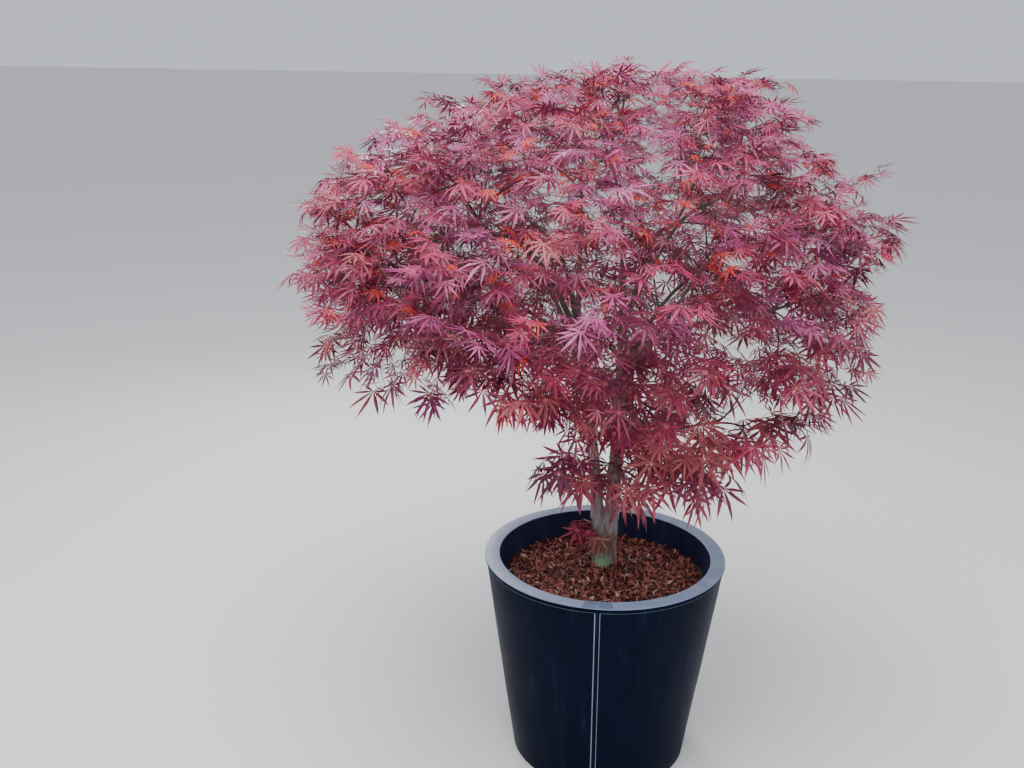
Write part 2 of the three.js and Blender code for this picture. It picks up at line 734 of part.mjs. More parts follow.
const legs = trunkLegs();
const stems = makeStems();
const crownMasses = massCentres();
const boughs = makeBoughs(crownMasses, stems);
const trunk = named('trunk', geometryOf(trunkBody(legs)), BARK);
const masses = [...crownMasses, ...sproutMasses(trunk)];
const crownPlaces = [
  ...sprayPlaces(OUTER_SPRAYS, OUTER_DEPTH, 0),
  ...sprayPlaces(INNER_SPRAYS, INNER_DEPTH, INNER_TURN),
];
const limbs = [...legs, ...stems, ...boughs].map((limb) => limbSolid(limb, GROWN_BY))
  .reduce((all, limb) => all.add(limb));

const compost = fillingLayer(POT_FLOOR_THICKNESS + CLEARANCE, MULCH_TOP - MULCH_DEPTH);
const mulch = fillingLayer(MULCH_TOP - MULCH_DEPTH + CLEARANCE, MULCH_TOP);

const group = new THREE.Group();
group.add(named('pot', geometryOf(potBody()), POT_FINISH));
group.add(named('compost', geometryOf(compost), COMPOST));
group.add(named('bark_mulch', geometryOf(mulch), MULCH));
group.add(trunk);
for (const stem of stems) {
  group.add(named(stem.name, geometryOf(limbSolid(stem)), BARK));
}
for (const bough of boughs) {
  const socket = limbSolid(bough.carrier, GROWN_BY);
  group.add(named(bough.name, geometryOf(limbSolid(bough).subtract(socket)), BARK));
}
const random = seeded(SEED);
for (const mass of masses) {
  const places = mass.places ?? crownPlaces.filter((place) => nearestMass(place, crownMasses) === mass);
  const body = massBody(mass, masses, places, limbs, random);
  group.add(named(`${mass.label}_foliage`, geometryOf(body), LEAF));
}

export default group;
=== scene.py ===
# %% [markdown]
# # A red-leaved garden tree in a round metal pot
# The tree is a small one with two grey stems, a broad low crown and leaves cut into
# narrow fingers. It grows in a tapered metal pot under a layer of shredded bark.
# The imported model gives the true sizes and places: pot, trunk, stems and boughs, and one
# stand-in solid for each mass of foliage. This file grows the same tree again from the
# same named sizes, and carries it on to fine twigs and thousands of leaves.

import json
import math
import random

import bmesh
import bpy
import numpy as np
from mathutils import Euler, Matrix, Vector, noise

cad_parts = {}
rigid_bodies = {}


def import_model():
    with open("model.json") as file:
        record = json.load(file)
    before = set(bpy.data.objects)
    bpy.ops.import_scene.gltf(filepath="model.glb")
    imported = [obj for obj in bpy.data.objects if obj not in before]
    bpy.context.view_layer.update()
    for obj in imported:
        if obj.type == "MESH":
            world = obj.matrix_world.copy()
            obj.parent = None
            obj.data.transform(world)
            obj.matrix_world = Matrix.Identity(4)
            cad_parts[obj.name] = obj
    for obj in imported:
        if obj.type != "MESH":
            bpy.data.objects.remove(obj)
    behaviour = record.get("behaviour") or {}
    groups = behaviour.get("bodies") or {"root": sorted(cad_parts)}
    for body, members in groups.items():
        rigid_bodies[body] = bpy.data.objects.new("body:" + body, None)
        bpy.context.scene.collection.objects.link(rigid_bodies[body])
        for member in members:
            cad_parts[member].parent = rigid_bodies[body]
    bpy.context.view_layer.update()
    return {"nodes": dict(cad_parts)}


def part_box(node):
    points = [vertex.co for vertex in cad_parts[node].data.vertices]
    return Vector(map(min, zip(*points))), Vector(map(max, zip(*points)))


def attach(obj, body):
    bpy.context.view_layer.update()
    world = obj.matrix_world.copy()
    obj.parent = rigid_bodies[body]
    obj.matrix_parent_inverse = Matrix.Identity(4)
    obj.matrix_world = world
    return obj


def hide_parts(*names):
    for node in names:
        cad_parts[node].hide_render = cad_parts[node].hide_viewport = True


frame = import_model()
print("nodes in the model:", len(frame["nodes"]))

# %% [markdown]
# ## Small helpers for node trees and meshes
# Materials and Geometry Nodes are both graphs. Building them from a script stays short if
# one helper adds a node and fills its sockets, each with a value or with a link, and one
# more makes an empty Geometry Nodes tree with named inputs. The rest is what every piece
# needs: a mesh from lists, the faces of a tube, and a run of a tree that leaves plain mesh.

# %% Helpers that add nodes
def socket_of(made, place):
    """An input of a node, by its identifier if it has that one, else by its name."""
    for socket in made.inputs:
        if socket.identifier == place:
            return socket
    return made.inputs[place]


def add_node(tree, kind, sockets=None, **settings):
    """Adds a node, sets its options, and fills its inputs with values or links."""
    made = tree.nodes.new(kind)
    for name, value in settings.items():
        setattr(made, name, value)
    for place, source in (sockets or {}).items():
        if isinstance(source, bpy.types.NodeSocket):
            tree.links.new(source, socket_of(made, place))
        else:
            socket_of(made, place).default_value = source
    return made


print("node helpers ready")


# %% Helpers that start and end a tree, and make a mesh
def new_geometry_tree(name, inputs):
    """An empty Geometry Nodes tree with a geometry input and the named inputs."""
    tree = bpy.data.node_groups.new(name, "GeometryNodeTree")
    tree.interface.new_socket("Geometry", in_out="INPUT", socket_type="NodeSocketGeometry")
    for label, kind in inputs.items():
        tree.interface.new_socket(label, in_out="INPUT", socket_type=f"NodeSocket{kind}")
    tree.interface.new_socket("Geometry", in_out="OUTPUT", socket_type="NodeSocketGeometry")
    return tree, tree.nodes.new("NodeGroupInput").outputs


def end_tree(tree, geometry, finish):
    """Every tree ends the same way: real mesh in place of instances, and its finish."""
    real = add_node(tree, "GeometryNodeRealizeInstances", {"Geometry": geometry})
    coated = add_node(tree, "GeometryNodeSetMaterial",
                      {"Geometry": real.outputs[0], "Material": finish})
    add_node(tree, "NodeGroupOutput", {"Geometry": coated.outputs[0]})


def mesh_object(name, vertices, edges=(), faces=()):
    """A mesh object in the scene, from plain lists."""
    mesh = bpy.data.meshes.new(name)
    mesh.from_pydata([tuple(v) for v in vertices], list(edges), list(faces))
    made = bpy.data.objects.new(name, mesh)
    bpy.context.scene.collection.objects.link(made)
    return made


def tube_faces(rings, sides, turned_round=False):
    """A face over each end of a tube and the quads between its rings, also turned round."""
    low_end, high_end = tuple(range(sides)), tuple(range((rings - 1) * sides, rings * sides))
    faces = [low_end, high_end[::-1]] if turned_round else [low_end[::-1], high_end]
    for first in range(0, (rings - 1) * sides, sides):
        for side in range(sides):
            a, b = first + side, first + (side + 1) % sides
            c, d = b + sides, a + sides
            faces.append((a, d, c, b) if turned_round else (a, b, c, d))
    return faces


def turns(steps):
    """Angles evenly round a circle."""
    return [2 * math.pi * step / steps for step in range(steps)]


def around(angle, radius, height=0.0):
    """A point at an angle round the upright axis."""
    return np.array((radius * math.cos(angle), radius * math.sin(angle), height))


def edit_mesh(made, change):
    """Opens a mesh for editing, changes it and puts it back."""
    work = bmesh.new()
    work.from_mesh(made.data)
    change(work)
    work.to_mesh(made.data)
    work.free()


print("mesh helpers ready")


# %% Helpers that carry named values and run a tree
def store(made, name, kind, values):
    """Gives every point of a mesh a value under a name, for a tree to read."""
    part = "vector" if kind == "FLOAT_VECTOR" else "value"
    made.data.attributes.new(name, kind, "POINT").data.foreach_set(part, values)


def stored(tree, name, kind):
    """The value that the points carry under a name."""
    reader = add_node(tree, "GeometryNodeInputNamedAttribute", {"Name": name}, data_type=kind)
    return reader.outputs["Attribute"]


def plain_mesh(source):
    """The mesh that an object's modifiers make, which are then removed."""
    graph = bpy.context.evaluated_depsgraph_get()
    mesh = bpy.data.meshes.new_from_object(source.evaluated_get(graph), depsgraph=graph)
    source.modifiers.clear()
    return mesh


def run_tree(source, name, tree, values):
    """Runs a tree on a source object, keeps the plain mesh and drops the source."""
    modifier = source.modifiers.new(tree.name, "NODES")
    modifier.node_group = tree
    for item in tree.interface.items_tree:
        if item.in_out == "INPUT" and item.name in values:
            modifier[item.identifier] = values[item.name]
    mesh = plain_mesh(source)
    bpy.data.objects.remove(source)
    mesh.name = name
    made = bpy.data.objects.new(name, mesh)
    bpy.context.scene.collection.objects.link(made)
    return made


def triangles(made):
    return sum(len(face.vertices) - 2 for face in made.data.polygons)


print("tree helpers ready")

# %% [markdown]
# ## Finishes for metal, bark, mulch and wood
# Painted metal shows its age by long streaks down the wall, small pale scuffs and uneven
# gloss. All of that is noise, stretched along the wall, and it reads Object coordinates so
# that it stays put in every view. Chips, twigs and leaves need less: two tones in a fine
# mottle with a little relief, each at its own scale, from one function. A number that is
# the same all over is set straight on the shader.

# %% Helpers for procedural finishes
def new_finish(name, **constants):
    """A material with one shader, whose plain numbers are set on its own sockets."""
    finish = bpy.data.materials.new(name)
    finish.use_nodes = True
    tree = finish.node_tree
    shader = tree.nodes["Principled BSDF"]
    for place, value in constants.items():
        shader.inputs[place.replace("_", " ")].default_value = value
    return finish, tree, shader


def object_place(tree, scale=(1, 1, 1)):
    """Object coordinates, stretched by a scale along each axis."""
    where = tree.nodes.new("ShaderNodeTexCoord")
    return add_node(tree, "ShaderNodeMapping",
                    {"Vector": where.outputs["Object"], "Scale": scale}).outputs[0]


def grain(tree, place, scale, detail=4.0, roughness=0.55):
    """A soft noise from 0 to 1."""
    return add_node(tree, "ShaderNodeTexNoise", {
        "Vector": place, "Scale": scale, "Detail": detail, "Roughness": roughness,
    }).outputs["Fac"]


def ramp(tree, factor, stops):
    """Colours, or greys given as one number, laid along a factor."""
    made = add_node(tree, "ShaderNodeValToRGB", {"Fac": factor})
    line = made.color_ramp.elements
    while len(line) < len(stops):
        line.new(0.5)
    for element, (place, colour) in zip(line, stops):
        element.position = place
        shade = (colour,) * 3 if isinstance(colour, (int, float)) else colour
        element.color = (*shade, 1)
    return made.outputs["Color"]


def mix_colours(tree, factor, first, second, way="MIX"):
    """Two colours mixed by a factor."""
    made = add_node(tree, "ShaderNodeMix", {"Factor_Float": factor, "A_Color": first, "B_Color": second},
                    data_type="RGBA", blend_type=way)
    return made.outputs[2]


def bump_from(tree, height, distance, strength=1.0):
    """A bump from a height, in metres."""
    return add_node(tree, "ShaderNodeBump",
                    {"Height": height, "Distance": distance, "Strength": strength}).outputs[0]


def height_mask(tree, low, high):
    """0 below one height of the object and 1 above another."""
    where = tree.nodes.new("ShaderNodeTexCoord")
    parts = add_node(tree, "ShaderNodeSeparateXYZ", {"Vector": where.outputs["Object"]})
    return add_node(tree, "ShaderNodeMapRange", {
        "Value": parts.outputs["Z"], "From Min": low, "From Max": high,
    }).outputs[0]


def mottled_finish(name, tones, mottle, relief, spread=(0.35, 0.65), **constants):
    """Two tones in a fine mottle, with or without a relief: its height and its own grain."""
    finish, tree, shader = new_finish(name, **constants)
    colour = ramp(tree, grain(tree, object_place(tree), *mottle), list(zip(spread, tones)))
    tree.links.new(colour, shader.inputs["Base Color"])
    if relief:
        height, relief_grain = relief
        bumps = grain(tree, object_place(tree), *relief_grain)
        tree.links.new(bump_from(tree, bumps, height), shader.inputs["Normal"])
    return finish


print("finish helpers ready")

# %% [markdown]
# ## The metal pot
# The real pot is sheet metal: a tapered outer wall, a flat rim folded over the top, an
# inner wall, and one upright lock seam where the sheet closes. A turned profile gives the
# wall, the fold under the rim and the soft edges. It could be a cylinder with bevels, but
# a profile of its own puts the thin groove under the rim where the real one has it. Cut
# rings then let the long wall be a little uneven, as beaten sheet is.

# %% Pot sizes, read from the model where it has them
pot_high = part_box("pot")[1]
POT_HEIGHT = pot_high.z
RIM_RADIUS = pot_high.x
BASE_RADIUS = 0.173
WALL_TOP_RADIUS = 0.2325
RIM_INNER_RADIUS = 0.206
FLOOR_RADIUS = 0.146
FLOOR_THICKNESS = 0.024
FOLD_HEIGHT = 0.0055
GROOVE_DEPTH, GROOVE_FOOT, GROOVE_TOP = 0.002, 0.0022, 0.0016
INNER_LIP_DROP, INNER_LIP_STEP = 0.012, 0.0015
EDGE_ROUND = 0.0016
POT_SEGMENTS = 176
SEAM_AZIMUTH = math.radians(-92)
SEAM_WIDTH = 0.009
print(f"pot {RIM_RADIUS * 2:.3f} wide, {POT_HEIGHT:.3f} high")


# %% A turned body from a profile
def round_corner(corner, before, after, radius, steps=4):
    """Replaces a corner of a profile by a short arc-like run of points."""
    corner, before, after = (np.array(p, float) for p in (corner, before, after))
    start = corner + (before - corner) / np.linalg.norm(before - corner) * radius
    end = corner + (after - corner) / np.linalg.norm(after - corner) * radius
    shares = np.linspace(0, 1, steps + 1)[:, None]
    return list((1 - shares) ** 2 * start + 2 * shares * (1 - shares) * corner + shares ** 2 * end)


def soft_profile(points, radii):
    """A profile whose corners are rounded by their own radii; 0 keeps a corner sharp."""
    line = []
    for index, (point, radius) in enumerate(zip(points, radii)):
        if radius and 0 < index < len(points) - 1:
            line += round_corner(point, points[index - 1], points[index + 1], radius)
        else:
            line.append(np.array(point, float))
    return line


def turned(name, profile, segments):
    """A closed body turned about Z from a profile that starts and ends on the axis."""
    rings = profile[1:-1]
    vertices = [(0, 0, profile[0][1])]
    for radius, height in rings:
        vertices += [around(angle, radius, height) for angle in turns(segments)]
    vertices.append((0, 0, profile[-1][1]))
    last = len(vertices) - 1
    faces = []
    for step in range(segments):
        after = (step + 1) % segments
        faces.append((0, 1 + after, 1 + step))
        faces.append((last, last - segments + step, last - segments + after))
        for ring in range(len(rings) - 1):
            a, b = 1 + ring * segments + step, 1 + ring * segments + after
            faces.append((a, b, b + segments, a + segments))
    return mesh_object(name, vertices, faces=faces)


fold_foot = POT_HEIGHT - FOLD_HEIGHT
wall_top = fold_foot - GROOVE_FOOT
pot_points = [
    (0, 0),
    (BASE_RADIUS, 0),
    (WALL_TOP_RADIUS, wall_top),
    (WALL_TOP_RADIUS - GROOVE_DEPTH, fold_foot - GROOVE_TOP),
    (WALL_TOP_RADIUS - GROOVE_DEPTH, fold_foot),
    (RIM_RADIUS, fold_foot),
    (RIM_RADIUS, POT_HEIGHT),
    (RIM_INNER_RADIUS, POT_HEIGHT),
    (RIM_INNER_RADIUS - INNER_LIP_STEP, POT_HEIGHT - INNER_LIP_DROP),
    (FLOOR_RADIUS, FLOOR_THICKNESS),
    (0, FLOOR_THICKNESS),
]
pot_rounding = [0, 0.003, 0.0012, 0, 0, 0.001, EDGE_ROUND, EDGE_ROUND, 0.004, 0.004, 0]
pot_shell = turned("pot_shell", soft_profile(pot_points, pot_rounding), POT_SEGMENTS)
print("pot shell:", triangles(pot_shell), "triangles")


# %% Long walls get rings of their own, and hand-beaten unevenness
def uneven(made, amount, scale, offset):
    """Moves every point along its normal by a broad soft noise."""
    normals = [vertex.normal.copy() for vertex in made.data.vertices]
    for vertex, normal in zip(made.data.vertices, normals):
        vertex.co += normal * amount * noise.noise(vertex.co * scale + offset)


def cut_rings(made, heights):
    """Cuts level rings through a mesh, so that a long wall can be uneven."""
    def cut(work):
        for height in heights:
            everything = work.verts[:] + work.edges[:] + work.faces[:]
            bmesh.ops.bisect_plane(work, geom=everything, dist=1e-6, plane_co=(0, 0, height),
                                   plane_no=(0, 0, 1))

    edit_mesh(made, cut)


WALL_RINGS = 12
DENT_DEPTH, DENT_SCALE, DENT_OFFSET = 0.0007, 9.0, Vector((7.3, 3.1, 5.7))
cut_rings(pot_shell, [fold_foot * (step + 1) / (WALL_RINGS + 2) for step in range(WALL_RINGS)])
uneven(pot_shell, DENT_DEPTH, DENT_SCALE, DENT_OFFSET)
pot_shell.data.shade_smooth()
print("pot shell with rings:", triangles(pot_shell), "triangles")

# %% [markdown]
# ## The lock seam and the joint of the rim
# Where the sheet closes, its two edges are folded into each other and beaten flat: the eye
# sees a narrow band between two thin bright lines. On the rim the same joint shows as a
# thin solder line between two darker patches, and a thin weld runs round under the rim.
# The lines follow a path, so Geometry Nodes sweep a round section along them. The flat
# pieces are bent strips. The rim's top gets a finish paler than the wall's, a painted
# reflection of the sky, so each face of the pot takes its finish by where it looks.

# %% A tree that sweeps a round section along drawn lines
sweep, given = new_geometry_tree("sweep_along_line", {"Sides": "Int", "Finish": "Material"})
path = add_node(sweep, "GeometryNodeMeshToCurve", {"Mesh": given["Geometry"]})
ring = add_node(sweep, "GeometryNodeCurvePrimitiveCircle", {"Resolution": given["Sides"], "Radius": 1.0})
tube = add_node(sweep, "GeometryNodeCurveToMesh", {
    "Curve": path.outputs[0], "Profile Curve": ring.outputs[0],
    "Scale": stored(sweep, "thickness", "FLOAT"), "Fill Caps": True,
})
smooth = add_node(sweep, "GeometryNodeSetShadeSmooth", {"Geometry": tube.outputs[0]})
end_tree(sweep, smooth.outputs[0], given["Finish"])


def swept(name, lines, sides, finish):
    """Tubes along lines, each given as its points and the radius at each of them."""
    vertices, edges, radii = [], [], []
    for points, thick in lines:
        first = len(vertices)
        vertices += [tuple(point) for point in points]
        radii += list(thick)
        edges += [(first + step, first + step + 1) for step in range(len(points) - 1)]
    source = mesh_object(f"{name}_lines", vertices, edges)
    store(source, "thickness", "FLOAT", radii)
    return run_tree(source, name, sweep, {"Sides": sides, "Finish": finish})


print("sweep tree:", len(sweep.nodes), "nodes")


# %% The metal finishes
STREAK_STRETCH, SCUFF_STRETCH = (44, 44, 3.2), (110, 110, 60)
SCUFF_DEPTH = 0.0002


def metal_finish(name, dark, middle, light, roughness, specular):
    """Old paint on metal: streaks down the wall, scuffs, and gloss that changes with them."""
    finish, tree, shader = new_finish(name, Metallic=0.0, Specular_IOR_Level=specular)
    streaks = grain(tree, object_place(tree, STREAK_STRETCH), 1.0, 6, 0.6)
    clouds = grain(tree, object_place(tree), 7.0, 4)
    scuffs = grain(tree, object_place(tree, SCUFF_STRETCH), 2.2, 6, 0.75)
    worn = ramp(tree, streaks, [(0.3, dark), (0.58, middle), (0.88, light)])
    cloudy = mix_colours(tree, ramp(tree, clouds, [(0.35, 0.0), (0.7, 0.7)]), worn, (*middle, 1))
    marks = ramp(tree, scuffs, [(0.6, 0.0), (0.74, 0.55)])
    tree.links.new(mix_colours(tree, marks, cloudy, (*light, 1)), shader.inputs["Base Color"])
    low, high = roughness
    tree.links.new(ramp(tree, clouds, [(0.3, low), (0.7, high)]), shader.inputs["Roughness"])
    tree.links.new(bump_from(tree, scuffs, SCUFF_DEPTH), shader.inputs["Normal"])
    return finish


wall_finish = metal_finish("pot_metal", (0.0014, 0.0028, 0.0095), (0.0028, 0.0058, 0.0185),
                           (0.012, 0.026, 0.064), (0.32, 0.46), 0.03)
# Painted reflection: the rim's pale tones stand in for the sky mirrored on the rim's top.
rim_reflection_finish = metal_finish("rim_metal_painted_reflection", (0.182, 0.24, 0.375), (0.256, 0.325, 0.475),
                          (0.385, 0.465, 0.63), (0.32, 0.44), 0.5)
# Painted light: the inner wall is a paler copy of the wall's paint and stands in for light that falls into
# the pot.
inner_lit_finish = metal_finish("inner_wall_metal_painted_light", (0.011, 0.014, 0.038), (0.022, 0.027, 0.07),
                            (0.065, 0.075, 0.14), (0.4, 0.55), 0.1)
patch_finish = metal_finish("rim_patch_metal", (0.105, 0.15, 0.255), (0.155, 0.205, 0.325),
                            (0.225, 0.285, 0.42), (0.35, 0.45), 0.15)
seam_finish = metal_finish("seam_metal", (0.13, 0.17, 0.22), (0.2, 0.25, 0.31),
                           (0.33, 0.38, 0.44), (0.35, 0.5), 0.4)
# The weld bead's pale tones are a painted highlight along it, under the rim.
weld_highlight_finish = metal_finish("weld_metal_painted_highlight", (0.03, 0.055, 0.075), (0.055, 0.09, 0.12),
                           (0.14, 0.2, 0.25), (0.35, 0.5), 0.2)
print("metal finishes:", len((wall_finish, rim_reflection_finish, inner_lit_finish, patch_finish, seam_finish, weld_highlight_finish)))

# %% Wall, rim and inner wall take their finishes
RIM_SLACK = 0.001
LOOKS_UP, LOOKS_IN = 0.5, -0.1


def side_of_pot(face):
    """0 for a face of the outer wall or the floor, 1 for the rim's top, 2 for the inner wall."""
    across = face.center.to_2d()
    on_rim = face.center.z > fold_foot - RIM_SLACK and across.length > RIM_INNER_RADIUS - RIM_SLACK
    # Faces that look up get the pale rim finish, a painted reflection of the sky.
    if on_rim and face.normal.z > LOOKS_UP:
        return 1
    looks_in = face.normal.to_2d().dot(across) < LOOKS_IN
    return 2 if looks_in and face.center.z > FLOOR_THICKNESS else 0


for finish in (wall_finish, rim_reflection_finish, inner_lit_finish):
    pot_shell.data.materials.append(finish)
for face in pot_shell.data.polygons:
    face.material_index = side_of_pot(face)
print("rim faces:", sum(face.material_index == 1 for face in pot_shell.data.polygons))


# %% The seam's band and its two bright lines
def wall_radius(height):
    return BASE_RADIUS + (WALL_TOP_RADIUS - BASE_RADIUS) * height / wall_top


def on_wall(height, aside, proud):
    """A point beside the seam, so far out from the wall."""
    radius = wall_radius(height)
    return around(SEAM_AZIMUTH + aside / radius, radius + proud, height)


SEAM_STEPS, SEAM_END_GAP = 40, 0.004
SEAM_HEIGHTS = np.linspace(SEAM_END_GAP, fold_foot - SEAM_END_GAP, SEAM_STEPS + 1)
BEAD_LEFT, BEAD_RIGHT, BEAD_PROUD = 0.0011, 0.0007, 0.0003
beads = []
for side, bead in ((-1, BEAD_LEFT), (1, BEAD_RIGHT)):
    line = [on_wall(height, side * SEAM_WIDTH / 2, BEAD_PROUD) for height in SEAM_HEIGHTS]
    beads.append((line, [bead] * len(line)))
seam_beads = swept("seam_beads", beads, 8, seam_finish)


def strip(name, rows, finish):
    """A closed bent strip from rows of four corners each."""
    corners = [corner for row in rows for corner in row]
    made = mesh_object(name, corners, faces=tube_faces(len(rows), 4))
    edit_mesh(made, lambda work: bmesh.ops.recalc_face_normals(work, faces=work.faces))
    made.data.materials.append(finish)
    return made


BAND_BURIED, BAND_PROUD = -0.001, 0.0008
half = SEAM_WIDTH / 2
BAND_CORNERS = [(-half, BAND_BURIED), (half, BAND_BURIED), (half, BAND_PROUD), (-half, BAND_PROUD)]
band_rows = [[on_wall(height, *corner) for corner in BAND_CORNERS] for height in SEAM_HEIGHTS]
seam_band = strip("seam_band", band_rows, wall_finish)
print("seam:", triangles(seam_beads) + triangles(seam_band), "triangles")

# %% The weld under the rim
WELD_DROP, WELD_RADIUS, WELD_POINTS = 0.004, 0.0007, 181
weld_height = fold_foot - WELD_DROP
weld_reach = wall_radius(weld_height) + WELD_RADIUS / 2
weld_gap = SEAM_WIDTH / 2 / wall_radius(weld_height)
weld_angles = np.linspace(SEAM_AZIMUTH + weld_gap, SEAM_AZIMUTH + 2 * math.pi - weld_gap, WELD_POINTS)
weld_line = [around(angle, weld_reach, weld_height) for angle in weld_angles]
weld_ring = swept("weld_ring", [(weld_line, [WELD_RADIUS] * len(weld_line))], 6, weld_highlight_finish)
print("weld:", triangles(weld_ring), "triangles")


# %% The joint of the rim
RIM_INSET, RIM_SUNK, STRIP_POINTS = 0.0015, 0.0012, 9


def rim_strip(name, from_aside, to_aside, lift, finish):
    """A thin plate that follows the rim between two distances along it from the seam."""
    middle = (RIM_RADIUS + RIM_INNER_RADIUS) / 2
    rows = []
    for aside in np.linspace(from_aside, to_aside, STRIP_POINTS):
        across = around(SEAM_AZIMUTH + aside / middle, 1.0)
        inner, outer = across * (RIM_INNER_RADIUS + RIM_INSET), across * (RIM_RADIUS - RIM_INSET)
        low, high = POT_HEIGHT - RIM_SUNK, POT_HEIGHT + lift
        rows.append([inner + (0, 0, low), outer + (0, 0, low), outer + (0, 0, high), inner + (0, 0, high)])
    return strip(name, rows, finish)


PATCH_LENGTH, PATCH_LIFT = 0.027, 0.0005
SOLDER_WIDTH, SOLDER_LIFT = 0.004, 0.0009
rim_joint = [
    rim_strip("rim_patch_left", -PATCH_LENGTH, -SOLDER_WIDTH / 2, PATCH_LIFT, patch_finish),
    rim_strip("rim_patch_right", SOLDER_WIDTH / 2, PATCH_LENGTH, PATCH_LIFT, patch_finish),
    rim_strip("rim_solder_line", -SOLDER_WIDTH / 2, SOLDER_WIDTH / 2, SOLDER_LIFT, seam_finish),
]
print("pieces of the rim's joint:", len(rim_joint))

# %% [markdown]
# ## Shredded bark on top of the compost
# The mulch is a loose layer of torn bark, from fine crumbs to slivers as long as a finger
# joint, mostly red-brown with some pale ones. Thousands of chips are work for Geometry
# Nodes: points scattered on the bed, each with one of a few chip shapes, turned and sized
# at random from a fixed seed. Three passes give three plain tones of bark.

# %% Sizes of the bed of bark under the chips
MULCH_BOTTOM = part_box("bark_mulch")[0].z
MULCH_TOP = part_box("bark_mulch")[1].z
BED_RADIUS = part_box("bark_mulch")[1].x
BED_FOOT_SHARE = 0.98
BED_RINGS, BED_SEGMENTS = 34, 120
BED_DROP = 0.003
LUMP_HEIGHT, LUMP_SCALE = 0.005, 22
CRUMB_HEIGHT, CRUMB_SCALE = 0.0022, 90
HEAP_HEIGHT, HEAP_REACH = 0.006, 0.07
TRUNK_Y = 0.05


def bed_height(x, y):
    """Lumps of two sizes, and a low heap round the trunk."""
    lump = noise.noise(Vector((x * LUMP_SCALE, y * LUMP_SCALE, 3.3))) * LUMP_HEIGHT
    crumb = noise.noise(Vector((x * CRUMB_SCALE, y * CRUMB_SCALE, 8.1))) * CRUMB_HEIGHT
    heap = HEAP_HEIGHT * math.exp(-((x / HEAP_REACH) ** 2 + ((y - TRUNK_Y) / HEAP_REACH) ** 2))
    return MULCH_TOP - BED_DROP + lump + crumb + heap


print(f"bed {BED_RADIUS * 2:.3f} wide, its top at {MULCH_TOP:.3f}")

# %% The bed as rings of points, with a wall and a foot
bed_vertices = [(0, 0, bed_height(0, 0))]
for ring_index in range(1, BED_RINGS + 1):
    for angle in turns(BED_SEGMENTS):
        x, y = around(angle, BED_RADIUS * ring_index / BED_RINGS)[:2]
        bed_vertices.append((x, y, bed_height(x, y)))
bed_faces = []
for step in range(BED_SEGMENTS):
    after = (step + 1) % BED_SEGMENTS
    bed_faces.append((0, 1 + step, 1 + after))
    for ring_index in range(BED_RINGS - 1):
        a, b = 1 + ring_index * BED_SEGMENTS + step, 1 + ring_index * BED_SEGMENTS + after
        bed_faces.append((a, a + BED_SEGMENTS, b + BED_SEGMENTS, b))
top_vertices, top_faces = list(bed_vertices), list(bed_faces)
foot = len(bed_vertices)
edge = foot - BED_SEGMENTS
bed_vertices += [around(angle, BED_RADIUS * BED_FOOT_SHARE, MULCH_BOTTOM) for angle in turns(BED_SEGMENTS)]
for step in range(BED_SEGMENTS):
    after = (step + 1) % BED_SEGMENTS
    bed_faces.append((edge + step, foot + step, foot + after, edge + after))
bed_faces.append(tuple(foot + step for step in reversed(range(BED_SEGMENTS))))
mulch_bed = mesh_object("mulch_bed", bed_vertices, faces=bed_faces)
print("bed:", triangles(mulch_bed), "triangles")


# %% Bark tones of the chips
def chip_finish(name, tones):
    """Torn bark: fine fibres, dull all over."""
    fibres = (240.0, 5, 0.65)
    return mottled_finish(name, tones, fibres, (0.0006, fibres), spread=(0.3, 0.7), Roughness=0.85)


CHIP_TONES = {
    "dark": ((0.02, 0.004, 0.007), (0.12, 0.025, 0.027)),
    "red": ((0.15, 0.026, 0.021), (0.64, 0.225, 0.165)),
    "pale": ((0.4, 0.24, 0.18), (0.8, 0.56, 0.46)),
}
chip_finishes = {tone: chip_finish(f"{tone}_bark_chips", pair) for tone, pair in CHIP_TONES.items()}
# The bed shows only between the chips; its bark tones are darkened as painted shade in those gaps.
mulch_bed.data.materials.append(chip_finish("mulch_bed_bark_painted_shade", ((0.02, 0.006, 0.005), (0.08, 0.024, 0.02))))
print("chip finishes:", len(chip_finishes))

# %% Chip shapes, kept on a shelf outside the scene
CHIP_STATIONS = [(-0.5, 0.25), (-0.2, 0.85), (0.15, 1.0), (0.5, 0.35)]


def chip_shape(index, rng):
    """A bent sliver one unit long: four stations with a thin four-sided section."""
    width = rng.uniform(0.09, 0.22)
    thick = rng.uniform(0.04, 0.09)
    bend = rng.uniform(-0.25, 0.3)
    vertices = []
    for along, share in CHIP_STATIONS:
        half = width * share * rng.uniform(0.8, 1.2)
        rise = bend * (0.25 - along * along)
        aside = rng.uniform(-0.05, 0.05)
        vertices += [(along, aside - half, rise), (along, aside, rise - thick * share),
                     (along, aside + half, rise), (along, aside, rise + thick * share)]
    return mesh_object(f"chip_{index}", vertices, faces=tube_faces(len(CHIP_STATIONS), 4, turned_round=True))


def shape_shelf(name, shapes):
    """A collection outside the scene that holds shapes to be picked from."""
    shelf = bpy.data.collections.new(name)
    for shape in shapes:
        bpy.context.scene.collection.objects.unlink(shape)
        shelf.objects.link(shape)
    return shelf


chip_random = random.Random(31)
chip_shelf = shape_shelf("chip_shapes", [chip_shape(index, chip_random) for index in range(6)])

# %% The tree that scatters the chips
def shapes_of(tree, shelf):
    """The shapes of a collection, each as an instance of its own to pick from."""
    return add_node(tree, "GeometryNodeCollectionInfo", {
        "Collection": shelf, "Separate Children": True, "Reset Children": True}).outputs[0]


